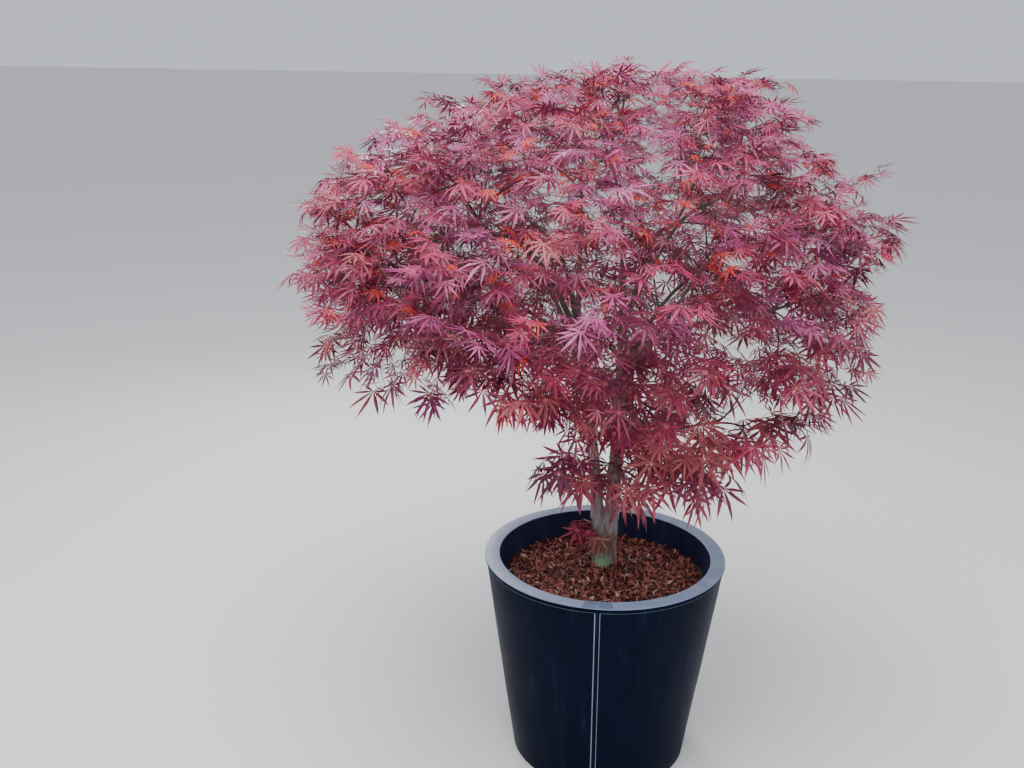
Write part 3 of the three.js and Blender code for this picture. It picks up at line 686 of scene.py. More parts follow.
scatter, given = new_geometry_tree("scatter_chips", {
    "Shapes": "Collection", "Density": "Float", "Smallest": "Float", "Largest": "Float",
    "Tilt": "Float", "Seed": "Int", "Finish": "Material",
})
spots = add_node(scatter, "GeometryNodeDistributePointsOnFaces", {
    "Mesh": given["Geometry"], "Density": given["Density"], "Seed": given["Seed"]})
low_turn = add_node(scatter, "ShaderNodeMath", {0: given["Tilt"], 1: -1.0}, operation="MULTIPLY")
lowest = add_node(scatter, "ShaderNodeCombineXYZ", {
    "X": low_turn.outputs[0], "Y": low_turn.outputs[0], "Z": 0.0})
highest = add_node(scatter, "ShaderNodeCombineXYZ", {
    "X": given["Tilt"], "Y": given["Tilt"], "Z": 2 * math.pi})
turn = add_node(scatter, "FunctionNodeRandomValue", {
    "Min": lowest.outputs[0], "Max": highest.outputs[0], "Seed": given["Seed"]},
    data_type="FLOAT_VECTOR")
length = add_node(scatter, "FunctionNodeRandomValue", {
    "Min_001": given["Smallest"], "Max_001": given["Largest"], "Seed": given["Seed"]}, data_type="FLOAT")
turned_by = add_node(scatter, "FunctionNodeEulerToRotation", {"Euler": turn.outputs[0]})
laid = add_node(scatter, "GeometryNodeInstanceOnPoints", {
    "Points": spots.outputs["Points"], "Instance": shapes_of(scatter, given["Shapes"]),
    "Pick Instance": True, "Rotation": turned_by.outputs[0], "Scale": length.outputs[1]})
end_tree(scatter, laid.outputs[0], given["Finish"])
print("scatter tree:", len(scatter.nodes), "nodes")

# %% Scatter the chips, one tone after the other
CHIP_EDGE, CHIP_LIFT = 0.012, 0.0015
# For each tone: chips per square metre, shortest and longest chip, tilt in radians, seed.
CHIP_RUNS = {
    "dark": (24500, 0.005, 0.02, 0.7, 3),
    "red": (22500, 0.005, 0.023, 1.1, 5),
    "pale": (3600, 0.005, 0.022, 1.0, 8),
}
chips = []
reach = 1 - CHIP_EDGE / BED_RADIUS
for tone, (density, smallest, largest, tilt, seed) in CHIP_RUNS.items():
    ground = mesh_object("chip_ground", [(x * reach, y * reach, z + CHIP_LIFT) for x, y, z in top_vertices],
                         faces=top_faces)
    chips.append(run_tree(ground, f"{tone}_chips", scatter, {
        "Shapes": chip_shelf, "Density": density, "Smallest": smallest, "Largest": largest,
        "Tilt": tilt, "Seed": seed, "Finish": chip_finishes[tone]}))
    print(tone, "chips:", triangles(chips[-1]), "triangles")

# %% [markdown]
# ## Limbs that follow curves
# A living limb leaves its parent in one direction and bends towards the light. A cubic
# curve does that with two directions and two ends. Sampled points carry the limb on: a
# place along it, its direction there, and a radius that tapers. The sizes below are the
# model's own, in metres, so that every limb grows where the model has it.

# %% Curves with a taper
UP = np.array((0.0, 0.0, 1.0))


def unit(vector):
    return vector / np.linalg.norm(vector)


def level(vector):
    return unit(np.array((vector[0], vector[1], 0.0)))


def curve_points(start, start_lean, end, end_lean, count):
    """Points of a cubic curve at even steps of its own parameter."""
    t = np.linspace(0, 1, count)[:, None]
    one, two = start + start_lean, end - end_lean
    return (1 - t) ** 3 * start + 3 * (1 - t) ** 2 * t * one + 3 * (1 - t) * t ** 2 * two + t ** 3 * end


def limb(start, start_lean, end, end_lean, start_radius, end_radius, count=61):
    """A limb as evenly spaced points, its two radii, and rough points for spacing tests."""
    fine = curve_points(start, start_lean, end, end_lean, 201)
    run = np.concatenate(([0], np.cumsum(np.linalg.norm(np.diff(fine, axis=0), axis=1))))
    marks = np.linspace(0, run[-1], count)
    points = np.stack([np.interp(marks, run, fine[:, axis]) for axis in range(3)], axis=1)
    return {
        "points": points, "length": run[-1], "radii": (start_radius, end_radius),
        "rough": curve_points(start, start_lean, end, end_lean, 41),
    }


def at(made, share):
    """The point of a limb at a share of its length."""
    marks = np.linspace(0, 1, len(made["points"]))
    return np.array([np.interp(share, marks, made["points"][:, axis]) for axis in range(3)])


def heading_at(made, share):
    """The direction of a limb at a share of its length."""
    return unit(at(made, min(share + 0.01, 1)) - at(made, max(share - 0.01, 0)))


def radius_at(made, share):
    first, last = made["radii"]
    return first + (last - first) * share


print("limb helpers ready")

# %% Trunk legs and the two stems
FORK_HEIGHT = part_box("trunk")[1].z
SET_OFF, TRUNK_SUNK = 0.0003, 0.012
trunk_foot = MULCH_TOP + SET_OFF - TRUNK_SUNK


def leg(foot_x, top_x, foot_radius, top_radius):
    return limb(np.array((foot_x, TRUNK_Y, trunk_foot)), UP * 0.05,
                np.array((top_x, TRUNK_Y, FORK_HEIGHT)),
                np.array(((top_x - foot_x) * 0.45, 0, 0.04)), foot_radius, top_radius)


def stem(fork_x, lean, tip, tip_lean, fork_radius, tip_radius):
    fork = np.array((fork_x, TRUNK_Y, FORK_HEIGHT + SET_OFF))
    return limb(fork, np.array(lean), np.array(tip), np.array(tip_lean), fork_radius, tip_radius)


LEFT_X, LEFT_RADIUS = -0.018, 0.0139
RIGHT_X, RIGHT_RADIUS = 0.0125, 0.0154
legs = [leg(-0.006, LEFT_X, 0.016, LEFT_RADIUS), leg(0.006, RIGHT_X, 0.018, RIGHT_RADIUS)]
left_stem = stem(LEFT_X, (-0.012, 0, 0.11), (-0.092, TRUNK_Y + 0.04, 0.96), (-0.04, 0.022, 0.15),
                 LEFT_RADIUS, 0.0046)
right_stem = stem(RIGHT_X, (0.004, 0, 0.14), (0.008, TRUNK_Y - 0.026, 1.08), (-0.016, -0.012, 0.17),
                  RIGHT_RADIUS, 0.004)
TIP_STEMS = {"upper_3": left_stem, "top": right_stem}
print(f"stems {left_stem['length']:.2f} and {right_stem['length']:.2f} long")

# %% [markdown]
# ## The crown's shape and its masses
# The crown is a broad dome whose underside climbs from the right to the left. A formula
# gives its surface from an azimuth and a latitude. Nineteen masses stand in tiers inside
# it, each on a bough of its own, and golden-angle steps spread places for sprays evenly
# over the surface, as a plant spreads its leaves to the light.

# %% The crown's surface
CROWN_CENTRE = np.array((-0.065, 0.025, 0.991))
CROWN_HALF_WIDTH, CROWN_HALF_DEPTH = 0.539, 0.52
CROWN_RISE, RISE_TILT = 0.372, 0.051
CROWN_FALL, FALL_TILT = 0.298, 0.197
LOWER_POWER, HEIGHT_POWER = 1.12, 0.9
LUMP_SHARE = 0.05
GOLDEN_ANGLE = math.pi * (3 - math.sqrt(5))


def crown_height(azimuth, upward):
    """How far the crown rises, or falls, from its centre at an azimuth."""
    size, tilt = (CROWN_RISE, RISE_TILT) if upward else (CROWN_FALL, FALL_TILT)
    return size + tilt * math.cos(azimuth)


def crown_place(azimuth, latitude, depth):
    """A place on the crown's surface, or inside it at a depth below 1."""
    power = 1 if latitude > 0 else LOWER_POWER
    lump = 1 + LUMP_SHARE * math.sin(3 * azimuth + 1.1) * math.cos(2.3 * latitude + 0.4)
    across = depth * lump * math.sqrt(1 - latitude * latitude) ** power
    swell = math.copysign(abs(latitude) ** HEIGHT_POWER, latitude)
    x = CROWN_HALF_WIDTH * across * math.cos(azimuth)
    y = CROWN_HALF_DEPTH * across * math.sin(azimuth)
    return CROWN_CENTRE + (x, y, depth * swell * crown_height(azimuth, latitude > 0))


def spray_places(count, depth, turn):
    """Places spread evenly over the crown at one depth."""
    latitudes = [1 - 2 * (index + 0.5) / count for index in range(count)]
    return [crown_place(index * GOLDEN_ANGLE + turn, latitude, depth)
            for index, latitude in enumerate(latitudes)]


print(f"crown {CROWN_HALF_WIDTH * 2:.2f} wide and {CROWN_HALF_DEPTH * 2:.2f} deep without its leaves")

# %% Masses in tiers
# For each tier: its name and number of masses, their height and reach as shares of the
# crown's, the first azimuth and the step in degrees, and how far their boughs climb.
TIERS = [
    ("top", 1, 0.66, 0.04, 60, 0, 0.0),
    ("upper", 5, 0.42, 0.54, 20, 72, 0.3),
    ("middle", 6, -0.06, 0.72, -10, 60, 0.25),
    ("lower", 5, -0.55, 0.48, -125, 62.5, 0.1),
    ("skirt", 2, -0.8, 0.22, -50, 110, 0.03),
]
STEM_LIFT = 0.09
STEM_BEYOND = 0.075
masses = []
for tier, count, height, reach, first, step, rise in TIERS:
    for index in range(count):
        azimuth = math.radians(first + step * index)
        centre = crown_place(azimuth, 0, reach) + UP * height * crown_height(azimuth, height > 0)
        label = f"{tier}_{index + 1}" if count > 1 else tier
        outward = unit(centre - CROWN_CENTRE + UP * STEM_LIFT)
        masses.append({"label": label, "centre": centre, "outward": outward,
                       "fork_height": centre[2] - rise})
print("masses:", len(masses))

# %% How a bough runs, and when it is free
LOWEST_BOUGH = 0.545
BOUGH_STEP, BOUGH_TRIES = 0.009, 40
LIMB_GAP = 0.002
STEM_BEFORE = 0.095
BOUGH_TIP_RADIUS, BOUGH_THICKENING = 0.0034, 0.008


def bough_from(mass, carrier, height):
    """A bough rises from its stem and levels out towards its mass."""
    spaced = carrier["points"]
    start = spaced[np.argmin(np.abs(spaced[:, 2] - max(height, LOWEST_BOUGH)))]
    across = mass["centre"] - start
    length = np.linalg.norm(across) - STEM_BEFORE
    flat = level(across)
    lean, end_lean = flat * 0.22 + UP * 0.3, flat * 0.3 + UP * 0.06
    return limb(start, lean * length, start + unit(across) * length, end_lean * length,
                BOUGH_TIP_RADIUS + BOUGH_THICKENING * length, BOUGH_TIP_RADIUS)


def keep_apart(one, other):
    """Whether two limbs keep a gap from each other all along."""
    shares = np.linspace(0, 1, 41)
    gaps = np.linalg.norm(one["rough"][:, None] - other["rough"][None], axis=2)
    needed = radius_at(one, shares)[:, None] + radius_at(other, shares)[None] + LIMB_GAP
    return bool(np.all(gaps > needed))


print("forks to try for each bough:", BOUGH_TRIES)

# %% Boughs that find a free fork
boughs = {}
for mass in reversed(masses):
    made = TIP_STEMS.get(mass["label"])
    carrier = left_stem if mass["centre"][0] < CROWN_CENTRE[0] else right_stem
    for step in range(BOUGH_TRIES if made is None else 0):
        aside = (-1 if step % 2 else 1) * math.ceil(step / 2) * BOUGH_STEP
        made = bough_from(mass, carrier, mass["fork_height"] + aside)
        if all(keep_apart(made, other) for other in boughs.values()):
            boughs[mass["label"]] = made
            break
    mass["entry"], mass["heading"] = at(made, 1), heading_at(made, 1)

worst = 0.0
for label, made in boughs.items():
    low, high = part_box(f"{label}_bough")
    worst = max(worst, float(np.abs(made["points"].max(0) - np.array(high)).max()))
print(f"boughs: {len(boughs)}, furthest from the model's box {worst * 1000:.1f} mm")

# %% [markdown]
# ## Bark with relief for the trunk and stems
# Young bark of this tree is smooth and grey, with shallow grooves along the stem, pale
# flecks and a green knob at the foot. The two legs have grown into one trunk, so they are
# joined by a voxel remesh, which melts overlapping tubes into one skin. Above the fork the
# stems are drawn a little thinner, so that the melt leaves a gap between them. The relief
# is then pressed into that skin by a noise stretched along the wood.

# %% One skin for trunk, knob and stems
def tube_mesh(name, made, sides, rings, extra=None):
    """A closed round tube along a limb, with an extra radius given by share."""
    vertices = []
    side_ways = unit(np.cross(heading_at(made, 0), (0.3, 1, 0.1)))
    for ring_index in range(rings + 1):
        share = ring_index / rings
        ahead = heading_at(made, share)
        side_ways = unit(side_ways - ahead * np.dot(side_ways, ahead))
        other_way = np.cross(ahead, side_ways)
        radius = radius_at(made, share) + (extra(share) if extra else 0)
        for angle in turns(sides):
            across = side_ways * math.cos(angle) + other_way * math.sin(angle)
            vertices.append(at(made, share) + across * radius)
    return mesh_object(name, vertices, faces=tube_faces(rings + 1, sides))


ROOT_FLARE, ROOT_FLARE_REACH = 0.006, 0.13
CROTCH_GAP, CROTCH_REACH = 0.0016, 0.12
KNOB_CENTRE, KNOB_RADII = (-0.004, 0.033, 0.378), (0.016, 0.015, 0.019)
GREEN_CENTRE = (-0.004, 0.022, 0.38)


def root_flare(share):
    return ROOT_FLARE * math.exp(-share / ROOT_FLARE_REACH)


def crotch_gap(share):
    """A little less thickness where the two stems part, so that the melt keeps them apart."""
    return -CROTCH_GAP * math.exp(-share / CROTCH_REACH)


print(f"root flare {ROOT_FLARE * 1000:.0f} mm, crotch gap {CROTCH_GAP * 1000:.1f} mm")

# %% Melt the tubes into one skin
parts = [tube_mesh("leg", made, 24, 20, lambda share: root_flare(share) - CROTCH_GAP * share)
         for made in legs]
parts += [tube_mesh("stem", made, 24, 60, crotch_gap) for made in (left_stem, right_stem)]
for made in (left_stem, right_stem):
    joint = limb(at(made, 0) - UP * 0.03, UP * 0.01, at(made, 0.05), heading_at(made, 0.05) * 0.01,
                 made["radii"][0] - CROTCH_GAP, made["radii"][0] - CROTCH_GAP)
    parts.append(tube_mesh("joint", joint, 24, 8))
work = bmesh.new()
for part in parts:
    work.from_mesh(part.data)
    bpy.data.objects.remove(part)
knob = Matrix.Translation(KNOB_CENTRE) @ Matrix.Diagonal((*KNOB_RADII, 1))
bmesh.ops.create_icosphere(work, subdivisions=4, radius=1, matrix=knob)
trunk_skin = mesh_object("trunk_and_stems", [])
work.to_mesh(trunk_skin.data)
work.free()

VOXEL = 0.0017
melt = trunk_skin.modifiers.new("melt", "REMESH")
melt.mode = "VOXEL"
melt.voxel_size = VOXEL
trunk_skin.data = plain_mesh(trunk_skin)
print("trunk skin:", triangles(trunk_skin), "triangles")


# %% Press the relief into the bark
def smooth_skin(made, times):
    """Relaxes a mesh, so that the steps of the voxels go."""
    for _ in range(times):
        edit_mesh(made, lambda work: bmesh.ops.smooth_vert(
            work, verts=work.verts, factor=0.5, use_axis_x=True, use_axis_y=True, use_axis_z=True))


def bark_relief(made, depth, fine_depth):
    """Grooves along the wood, and small warts and pits all over."""
    normals = [vertex.normal.copy() for vertex in made.data.vertices]
    for vertex, normal in zip(made.data.vertices, normals):
        x, y, z = vertex.co
        grooves = noise.noise(Vector((x * 210, y * 210, z * 32)))
        bulges = noise.noise(Vector((x * 50 + 9, y * 50, z * 22)))
        warts = noise.noise(Vector((x * 420, y * 420, z * 300 + 4)))
        vertex.co += normal * (depth * (0.5 * grooves + 0.8 * bulges) + fine_depth * warts)


smooth_skin(trunk_skin, 3)
bark_relief(trunk_skin, 0.0011, 0.00025)
trunk_skin.data.shade_smooth()
print("relief pressed into", len(trunk_skin.data.vertices), "points")


# %% Bark and twig finishes
def bark_finish():
    """Grey-brown bark with pale flecks and stripes, dark grooves, green at the foot, and painted shade that
    darkens it higher up in the crown.
    """
    finish, tree, shader = new_finish("bark", Roughness=0.8)
    stripes = grain(tree, object_place(tree, (170, 170, 34)), 1.0, 5, 0.6)
    flecks = grain(tree, object_place(tree, (420, 420, 260)), 1.0, 3, 0.6)
    patches = grain(tree, object_place(tree), 22.0, 3)
    wood = ramp(tree, stripes, [(0.25, (0.12, 0.1, 0.09)), (0.5, (0.28, 0.245, 0.225)),
                                (0.75, (0.48, 0.435, 0.41))])
    flecked = mix_colours(tree, ramp(tree, flecks, [(0.6, 0.0), (0.7, 0.75)]), wood,
                          (0.6, 0.55, 0.51, 1))
    reddish = mix_colours(tree, ramp(tree, patches, [(0.5, 0.0), (0.75, 0.5)]), flecked,
                          (0.27, 0.13, 0.12, 1))
    near_knob = add_node(tree, "ShaderNodeVectorMath", {
        0: object_place(tree), 1: GREEN_CENTRE}, operation="DISTANCE").outputs["Value"]
    knob_mask = add_node(tree, "ShaderNodeMapRange", {
        "Value": near_knob, "From Min": 0.024, "From Max": 0.018}).outputs[0]
    green = mix_colours(tree, knob_mask, reddish, (0.25, 0.41, 0.24, 1))
    # Painted shade: the bark darkens from 0.62 to 0.86 m up, inside the crown.
    high = height_mask(tree, 0.62, 0.86)
    shaded = mix_colours(tree, high, green, (0.075, 0.055, 0.045, 1))
    tree.links.new(shaded, shader.inputs["Base Color"])
    tree.links.new(bump_from(tree, stripes, 0.0012), shader.inputs["Normal"])
    return finish


TWIG_GRAIN, TWIG_RELIEF = (160.0, 3), 0.0003
bark = bark_finish()
twig_bark = mottled_finish("twig_bark", ((0.035, 0.018, 0.018), (0.12, 0.075, 0.065)), TWIG_GRAIN,
                           (TWIG_RELIEF, TWIG_GRAIN), Roughness=0.6)
young_bark = mottled_finish("young_twig_bark", ((0.06, 0.012, 0.02), (0.17, 0.035, 0.045)), TWIG_GRAIN,
                            (TWIG_RELIEF, TWIG_GRAIN), Roughness=0.5)
trunk_skin.data.materials.append(bark)
print("bark finishes:", len((bark, twig_bark, young_bark)))


# %% Boughs swept along their curves
COLLAR_REACH = 0.05


def limb_line(made, count, swell=0.0):
    """A limb's points and radii for the sweep, with a collar where it leaves its parent."""
    shares = np.linspace(0, 1, count)
    points = [at(made, share) for share in shares]
    radii = [radius_at(made, share) * (1 + swell * math.exp(-share / COLLAR_REACH)) for share in shares]
    return points, radii


bough_wood = swept("boughs", [limb_line(made, 44, 0.45) for made in boughs.values()], 14, bark)
bark_relief(bough_wood, 0.0006, 0.00015)
print("boughs:", triangles(bough_wood), "triangles")

# %% [markdown]
# ## Twigs, from the masses' stems to the finest
# A stem goes on from each bough's tip through its mass. Twigs leave it towards places on
# the crown's surface, as the model has them. From there the tree is carried on: places at
# several depths are taken from the inside out, and each grows a fine twig from the nearest
# wood of its mass that already points its way. That is how real twigs share out the light.
# A soft noise leaves gaps between the sprays for the sky. The gaps are wider low down and
# at named open spots, and some outlying places carry single sprays beyond the even dome.

# %% Stems and twigs that the model has
SPACE_MARGIN = 0.0004
OUTER_SPRAYS, OUTER_DEPTH = 84, 0.84
INNER_SPRAYS, INNER_DEPTH = 8, 0.56
TWIG_STEP = 0.017
STEM_RADII, TWIG_RADII = (BOUGH_TIP_RADIUS, 0.0017), (0.0019, 0.0011)
STEM_LEAN = 0.35
TWIG_BACK, TWIG_FIRST, TWIG_LAST = 0.5, 0.12, 0.85
TWIG_LEAN, TWIG_END_LEAN = 0.16, (0.3, 0.3, 0)
SHORTENINGS = (1, 0.85, 0.7, 0.55)


def nearest_mass(place):
    return min(masses, key=lambda mass: np.linalg.norm(place - mass["centre"]))


def stays_in_space(points, mass):
    """Whether points lie nearer to the centre of their own mass than to any other."""
    for other in masses:
        if other is not mass:
            between = other["centre"] - mass["centre"]
            middle = (mass["centre"] + other["centre"]) / 2
            if np.any((points - middle) @ unit(between) > -SPACE_MARGIN):
                return False
    return True


def mass_stem(mass):
    start = mass["entry"] + mass["heading"] * SET_OFF
    end = mass["centre"] + mass["outward"] * STEM_BEYOND
    reach = np.linalg.norm(end - start) * STEM_LEAN
    return limb(start, mass["heading"] * reach, end, mass["outward"] * reach, *STEM_RADII)


def model_twig(place, index, stem, mass):
    """The model's twig from a stem to a place, shortened until it stays in the space."""
    foot, tip = at(stem, 0), at(stem, 1)
    chord = tip - foot
    along = np.dot(place - foot, chord) / np.dot(chord, chord)
    away = np.linalg.norm(place - at(stem, min(max(along, 0), 1)))
    share = min(max(along - TWIG_BACK * away / np.linalg.norm(chord), TWIG_FIRST), TWIG_LAST)
    share += TWIG_STEP * index
    start = at(stem, share)
    for shortening in SHORTENINGS:
        end = start + (place - start) * shortening
        length = np.linalg.norm(end - start)
        lean = (end - start) * TWIG_LEAN + heading_at(stem, share) * TWIG_LEAN * length
        made = limb(start, lean, end, (end - start) * TWIG_END_LEAN, *TWIG_RADII, 31)
        if stays_in_space(made["points"], mass):
            return made
    return None


model_places = spray_places(OUTER_SPRAYS, OUTER_DEPTH, 0) + spray_places(INNER_SPRAYS, INNER_DEPTH, 1)
for mass in masses:
    mass["stem"] = mass_stem(mass)
    own = [place for place in model_places if nearest_mass(place) is mass]
    grown = [model_twig(place, index, mass["stem"], mass) for index, place in enumerate(own)]
    mass["twigs"] = [made for made in grown if made]
    mass["fine"] = []
print("twigs of the model:", sum(len(mass["twigs"]) for mass in masses))

# %% Where the crown is full, open or drawn out
# Shells of places for fine twigs: how many, and how deep in the crown.
FINE_SHELLS = [(40, 0.34), (90, 0.5), (200, 0.66), (380, 0.78), (560, 0.86), (620, 0.92)]
HIGHEST = 1.325
PLACE_JITTER = 0.034
GAP_SCALE = 7.0
GAP_LEVEL, LOW_GAPS, LOW_GAPS_REACH = -0.5, 0.36, 0.2
# An open spot: where it is to the right and in height, half its width and height, how open.
OPEN_SPOTS = [
    (0.005, 1.01, 0.15, 0.12, 0.14), (0.2, 0.7, 0.16, 0.07, 0.34), (0.02, 0.74, 0.07, 0.1, 0.34),
    (0.17, 0.83, 0.12, 0.04, 0.26), (-0.1, 0.8, 0.08, 0.035, 0.26), (0.32, 0.71, 0.08, 0.05, 0.24),
    (-0.57, 0.92, 0.07, 0.05, 0.6),
]
THIN_SHOULDER = (0.4, 1.24, 0.12, 0.11, 1.0)
# Places of single sprays beyond the even dome.
OUTLYING = [
    (-0.5, 0.0, 1.12), (-0.48, 0.06, 1.14), (-0.51, -0.04, 1.09), (-0.47, -0.05, 1.13),
    (-0.5, 0.14, 0.87), (-0.44, 0.16, 0.86), (-0.37, 0.18, 0.84), (-0.3, 0.16, 0.81),
    (-0.47, 0.05, 0.86), (-0.35, 0.08, 0.82),
    (-0.53, 0.05, 0.82), (-0.5, -0.02, 0.8), (-0.46, 0.03, 0.79), (-0.42, -0.08, 0.8),
    (-0.5, 0.12, 0.83), (-0.37, -0.1, 0.785), (-0.4, 0.06, 0.775), (-0.3, -0.12, 0.755),
    (0.47, 0.05, 1.03), (0.45, 0.0, 1.0), (0.455, 0.1, 1.05), (0.486, 0.02, 1.045),
    (0.48, 0.06, 1.055), (-0.09, -0.1, 0.64), (-0.06, -0.06, 0.61), (-0.08, -0.04, 0.61),
    (0.06, -0.15, 0.625), (0.14, -0.1, 0.61), (-0.54, 0.03, 0.8),
    (-0.53, -0.05, 0.79), (-0.55, 0.09, 0.81), (-0.48, 0.0, 0.765), (-0.43, -0.05, 0.75),
    (0.455, 0.03, 0.88), (0.45, 0.08, 0.85),
    (0.45, -0.03, 0.82), (0.43, 0.04, 0.77), (0.38, 0.0, 0.74), (0.33, -0.05, 0.71),
]
print("open spots:", len(OPEN_SPOTS) + 1, "outlying places:", len(OUTLYING))

# %% Places for the fine twigs, with gaps for the sky
tree_random = random.Random(12)


def jittered(place):
    x, y, z = place + np.array([tree_random.uniform(-1, 1) for _ in range(3)]) * PLACE_JITTER
    return np.array((x, y, min(z, HIGHEST + tree_random.uniform(-0.5, 0) * PLACE_JITTER)))


def in_gap(place):
    """Whether a place falls in a gap: wider low down, on the thin shoulder and at open spots in front."""
    level_here = GAP_LEVEL + LOW_GAPS * min(max((CROWN_CENTRE[2] - place[2]) / LOW_GAPS_REACH, 0), 1)
    open_here = [THIN_SHOULDER] + (OPEN_SPOTS if place[1] < TRUNK_Y else [])
    for x, z, half_width, half_height, wider in open_here:
        aside, above = (place[0] - x) / half_width, (place[2] - z) / half_height
        level_here += wider * math.exp(-aside * aside - above * above)
    return noise.noise(Vector(place) * GAP_SCALE) < level_here


wanted = [place for count, depth in FINE_SHELLS
          for place in map(jittered, spray_places(count, depth, depth * 9)) if not in_gap(place)]
wanted += [np.array(place) for place in OUTLYING]
print("places for fine twigs:", len(wanted))


# %% Grow the fine twigs, from the inside out
SHORTEST_TWIG = 0.03
TURN_COST, FOOT_COST = 1.5, 0.02
LEAN_ALONG, LEAN_STRAIGHT, LEAN_UP = 0.22, 0.15, 0.05
THINNER, THINNEST, THICKENING, FINE_TIP_RADIUS = 0.8, 0.0008, 0.003, 0.00055


def cheapest_start(place, bearer):
    """Where a twig leaves a bearer with the shortest way and the least turn, and its cost."""
    points = bearer["points"][2:]
    ways = np.gradient(bearer["points"], axis=0)[2:]
    ways = ways / np.linalg.norm(ways, axis=1)[:, None]
    offsets = place - points
    gaps = np.linalg.norm(offsets, axis=1) + 1e-6
    turning = np.sum(offsets * ways, axis=1) / gaps
    costs = gaps * (TURN_COST - turning) + FOOT_COST * np.linspace(1, 0, len(points))
    pick = int(np.argmin(costs))
    return costs[pick], points[pick], ways[pick], radius_at(bearer, pick / len(points))


def fine_twig(place, mass):
    """A twig from the nearest wood of the mass that points towards the place."""
    bearers = [mass["stem"], *mass["twigs"], *mass["fine"]]
    starts = [cheapest_start(place, bearer) for bearer in bearers]
    start, way, bearer_radius = min(starts, key=lambda choice: choice[0])[1:]
    length = np.linalg.norm(place - start)
    if length < SHORTEST_TWIG:
        return None
    lean = way * LEAN_ALONG * length + (place - start) * LEAN_STRAIGHT + UP * LEAN_UP * length
    end_lean = level(place - CROWN_CENTRE) * LEAN_ALONG * length
    radius = min(THINNER * bearer_radius, THINNEST + THICKENING * length)
    return limb(start, lean, place, end_lean, radius, FINE_TIP_RADIUS, 21)


for place in wanted:
    mass = nearest_mass(place)
    made = fine_twig(place, mass)
    if made:
        mass["fine"].append(made)
fine_twigs = [made for mass in masses for made in mass["fine"]]
lengths = [made["length"] for made in fine_twigs]
print(f"fine twigs: {len(fine_twigs)}, {min(lengths):.2f} to {max(lengths):.2f} m long")

# %% Sprouts at the foot of the trunk
# Each sprout's tint, its azimuth in degrees and its height above the mulch.
SPROUTS = [("cerise", 195, 0.05), ("olive", -97, 0.04)]
SPROUT_LENGTH, SPROUT_RADII = 0.054, (0.0011, 0.0006)
SPROUT_TURNS = (-0.7, -0.1, 0.45)
SPROUT_FOOT_REACH = 0.012
sprout_twigs = []
for tint, azimuth, height in SPROUTS:
    across = around(math.radians(azimuth), 1.0)
    start = np.array((0, TRUNK_Y, MULCH_TOP + height)) + across * SPROUT_FOOT_REACH
    for turn_by in SPROUT_TURNS:
        swing = Matrix.Rotation(turn_by, 3, "Z")
        way = np.array(swing @ Vector(unit(across + UP)))
        end = start + way * SPROUT_LENGTH + UP * 0.012 * turn_by
        sprout_twigs.append(limb(start, UP * 0.02, end, way * 0.02, *SPROUT_RADII, 21) | {"tint": tint})
print("sprout twigs:", len(sprout_twigs))

# %% Sweep all the twigs
stem_wood = swept("foliage_stems", [limb_line(mass["stem"], 16, 0.1) for mass in masses], 8, twig_bark)
bark_relief(stem_wood, 0.0003, 0.0001)
twig_lines = [limb_line(made, 14, 0.3) for mass in masses for made in mass["twigs"]]
twig_wood = swept("twigs", twig_lines, 6, twig_bark)
fine_lines = [limb_line(made, 8, 0.3) for made in fine_twigs + sprout_twigs]
fine_wood = swept("fine_twigs", fine_lines, 4, young_bark)
for made in (stem_wood, twig_wood, fine_wood):
    print(made.name, triangles(made), "triangles")

# %% [markdown]
# ## One leaf, and its stalk
# A leaf is a hand of seven long narrow fingers that meet near a small heart. Each finger
# is widest before its middle, runs out to a long point, droops, and is creased along its
# midrib. A few dozen faces are enough: two strips of quads along each rib. The small young
# leaves near the top do with fewer, and their hearts don't show. Six variants of each kind
# with other droops and spreads keep the tree from looking stamped.

# %% What sets the leaf variants apart
# A finger's angle and its share of the leaf's reach; then stations along a finger, each as
# a share of its length, with half its width there as a share of the leaf's reach.
FINGERS = [(0, 1.0), (0.6, 0.95), (-0.6, 0.95), (1.18, 0.78), (-1.18, 0.78), (1.85, 0.5), (-1.85, 0.5)]
LARGE_STATIONS = [(0.12, 0.024), (0.42, 0.06), (0.72, 0.042)]
SMALL_STATIONS = [(0.0, 0.012), (0.48, 0.06)]
LEAF_REACH = 0.064
STALK_REACH = 0.034
STALK_RISE = 0.85
STALK_ENDS = [(0, 0.0009), (1.03, 0.0006)]
KINDS_EACH = 6


def leaf_ways(index):
    """The droop, spread and crease of a variant, and its points along a finger."""
    rng = random.Random(100 + index)
    return {
        "droop": 0.5 * (index % KINDS_EACH) / (KINDS_EACH - 1) - 0.12,
        "spread": rng.uniform(0.84, 1.08),
        "crease": rng.choice((-1, 1, 1)) * rng.uniform(0.25, 0.5),
        "stations": LARGE_STATIONS if index < KINDS_EACH else SMALL_STATIONS,
        "rng": rng,
    }


def stalk_end():
    return np.array((0, math.cos(STALK_RISE), math.sin(STALK_RISE))) * STALK_REACH


print("leaf variants:", 2 * KINDS_EACH)


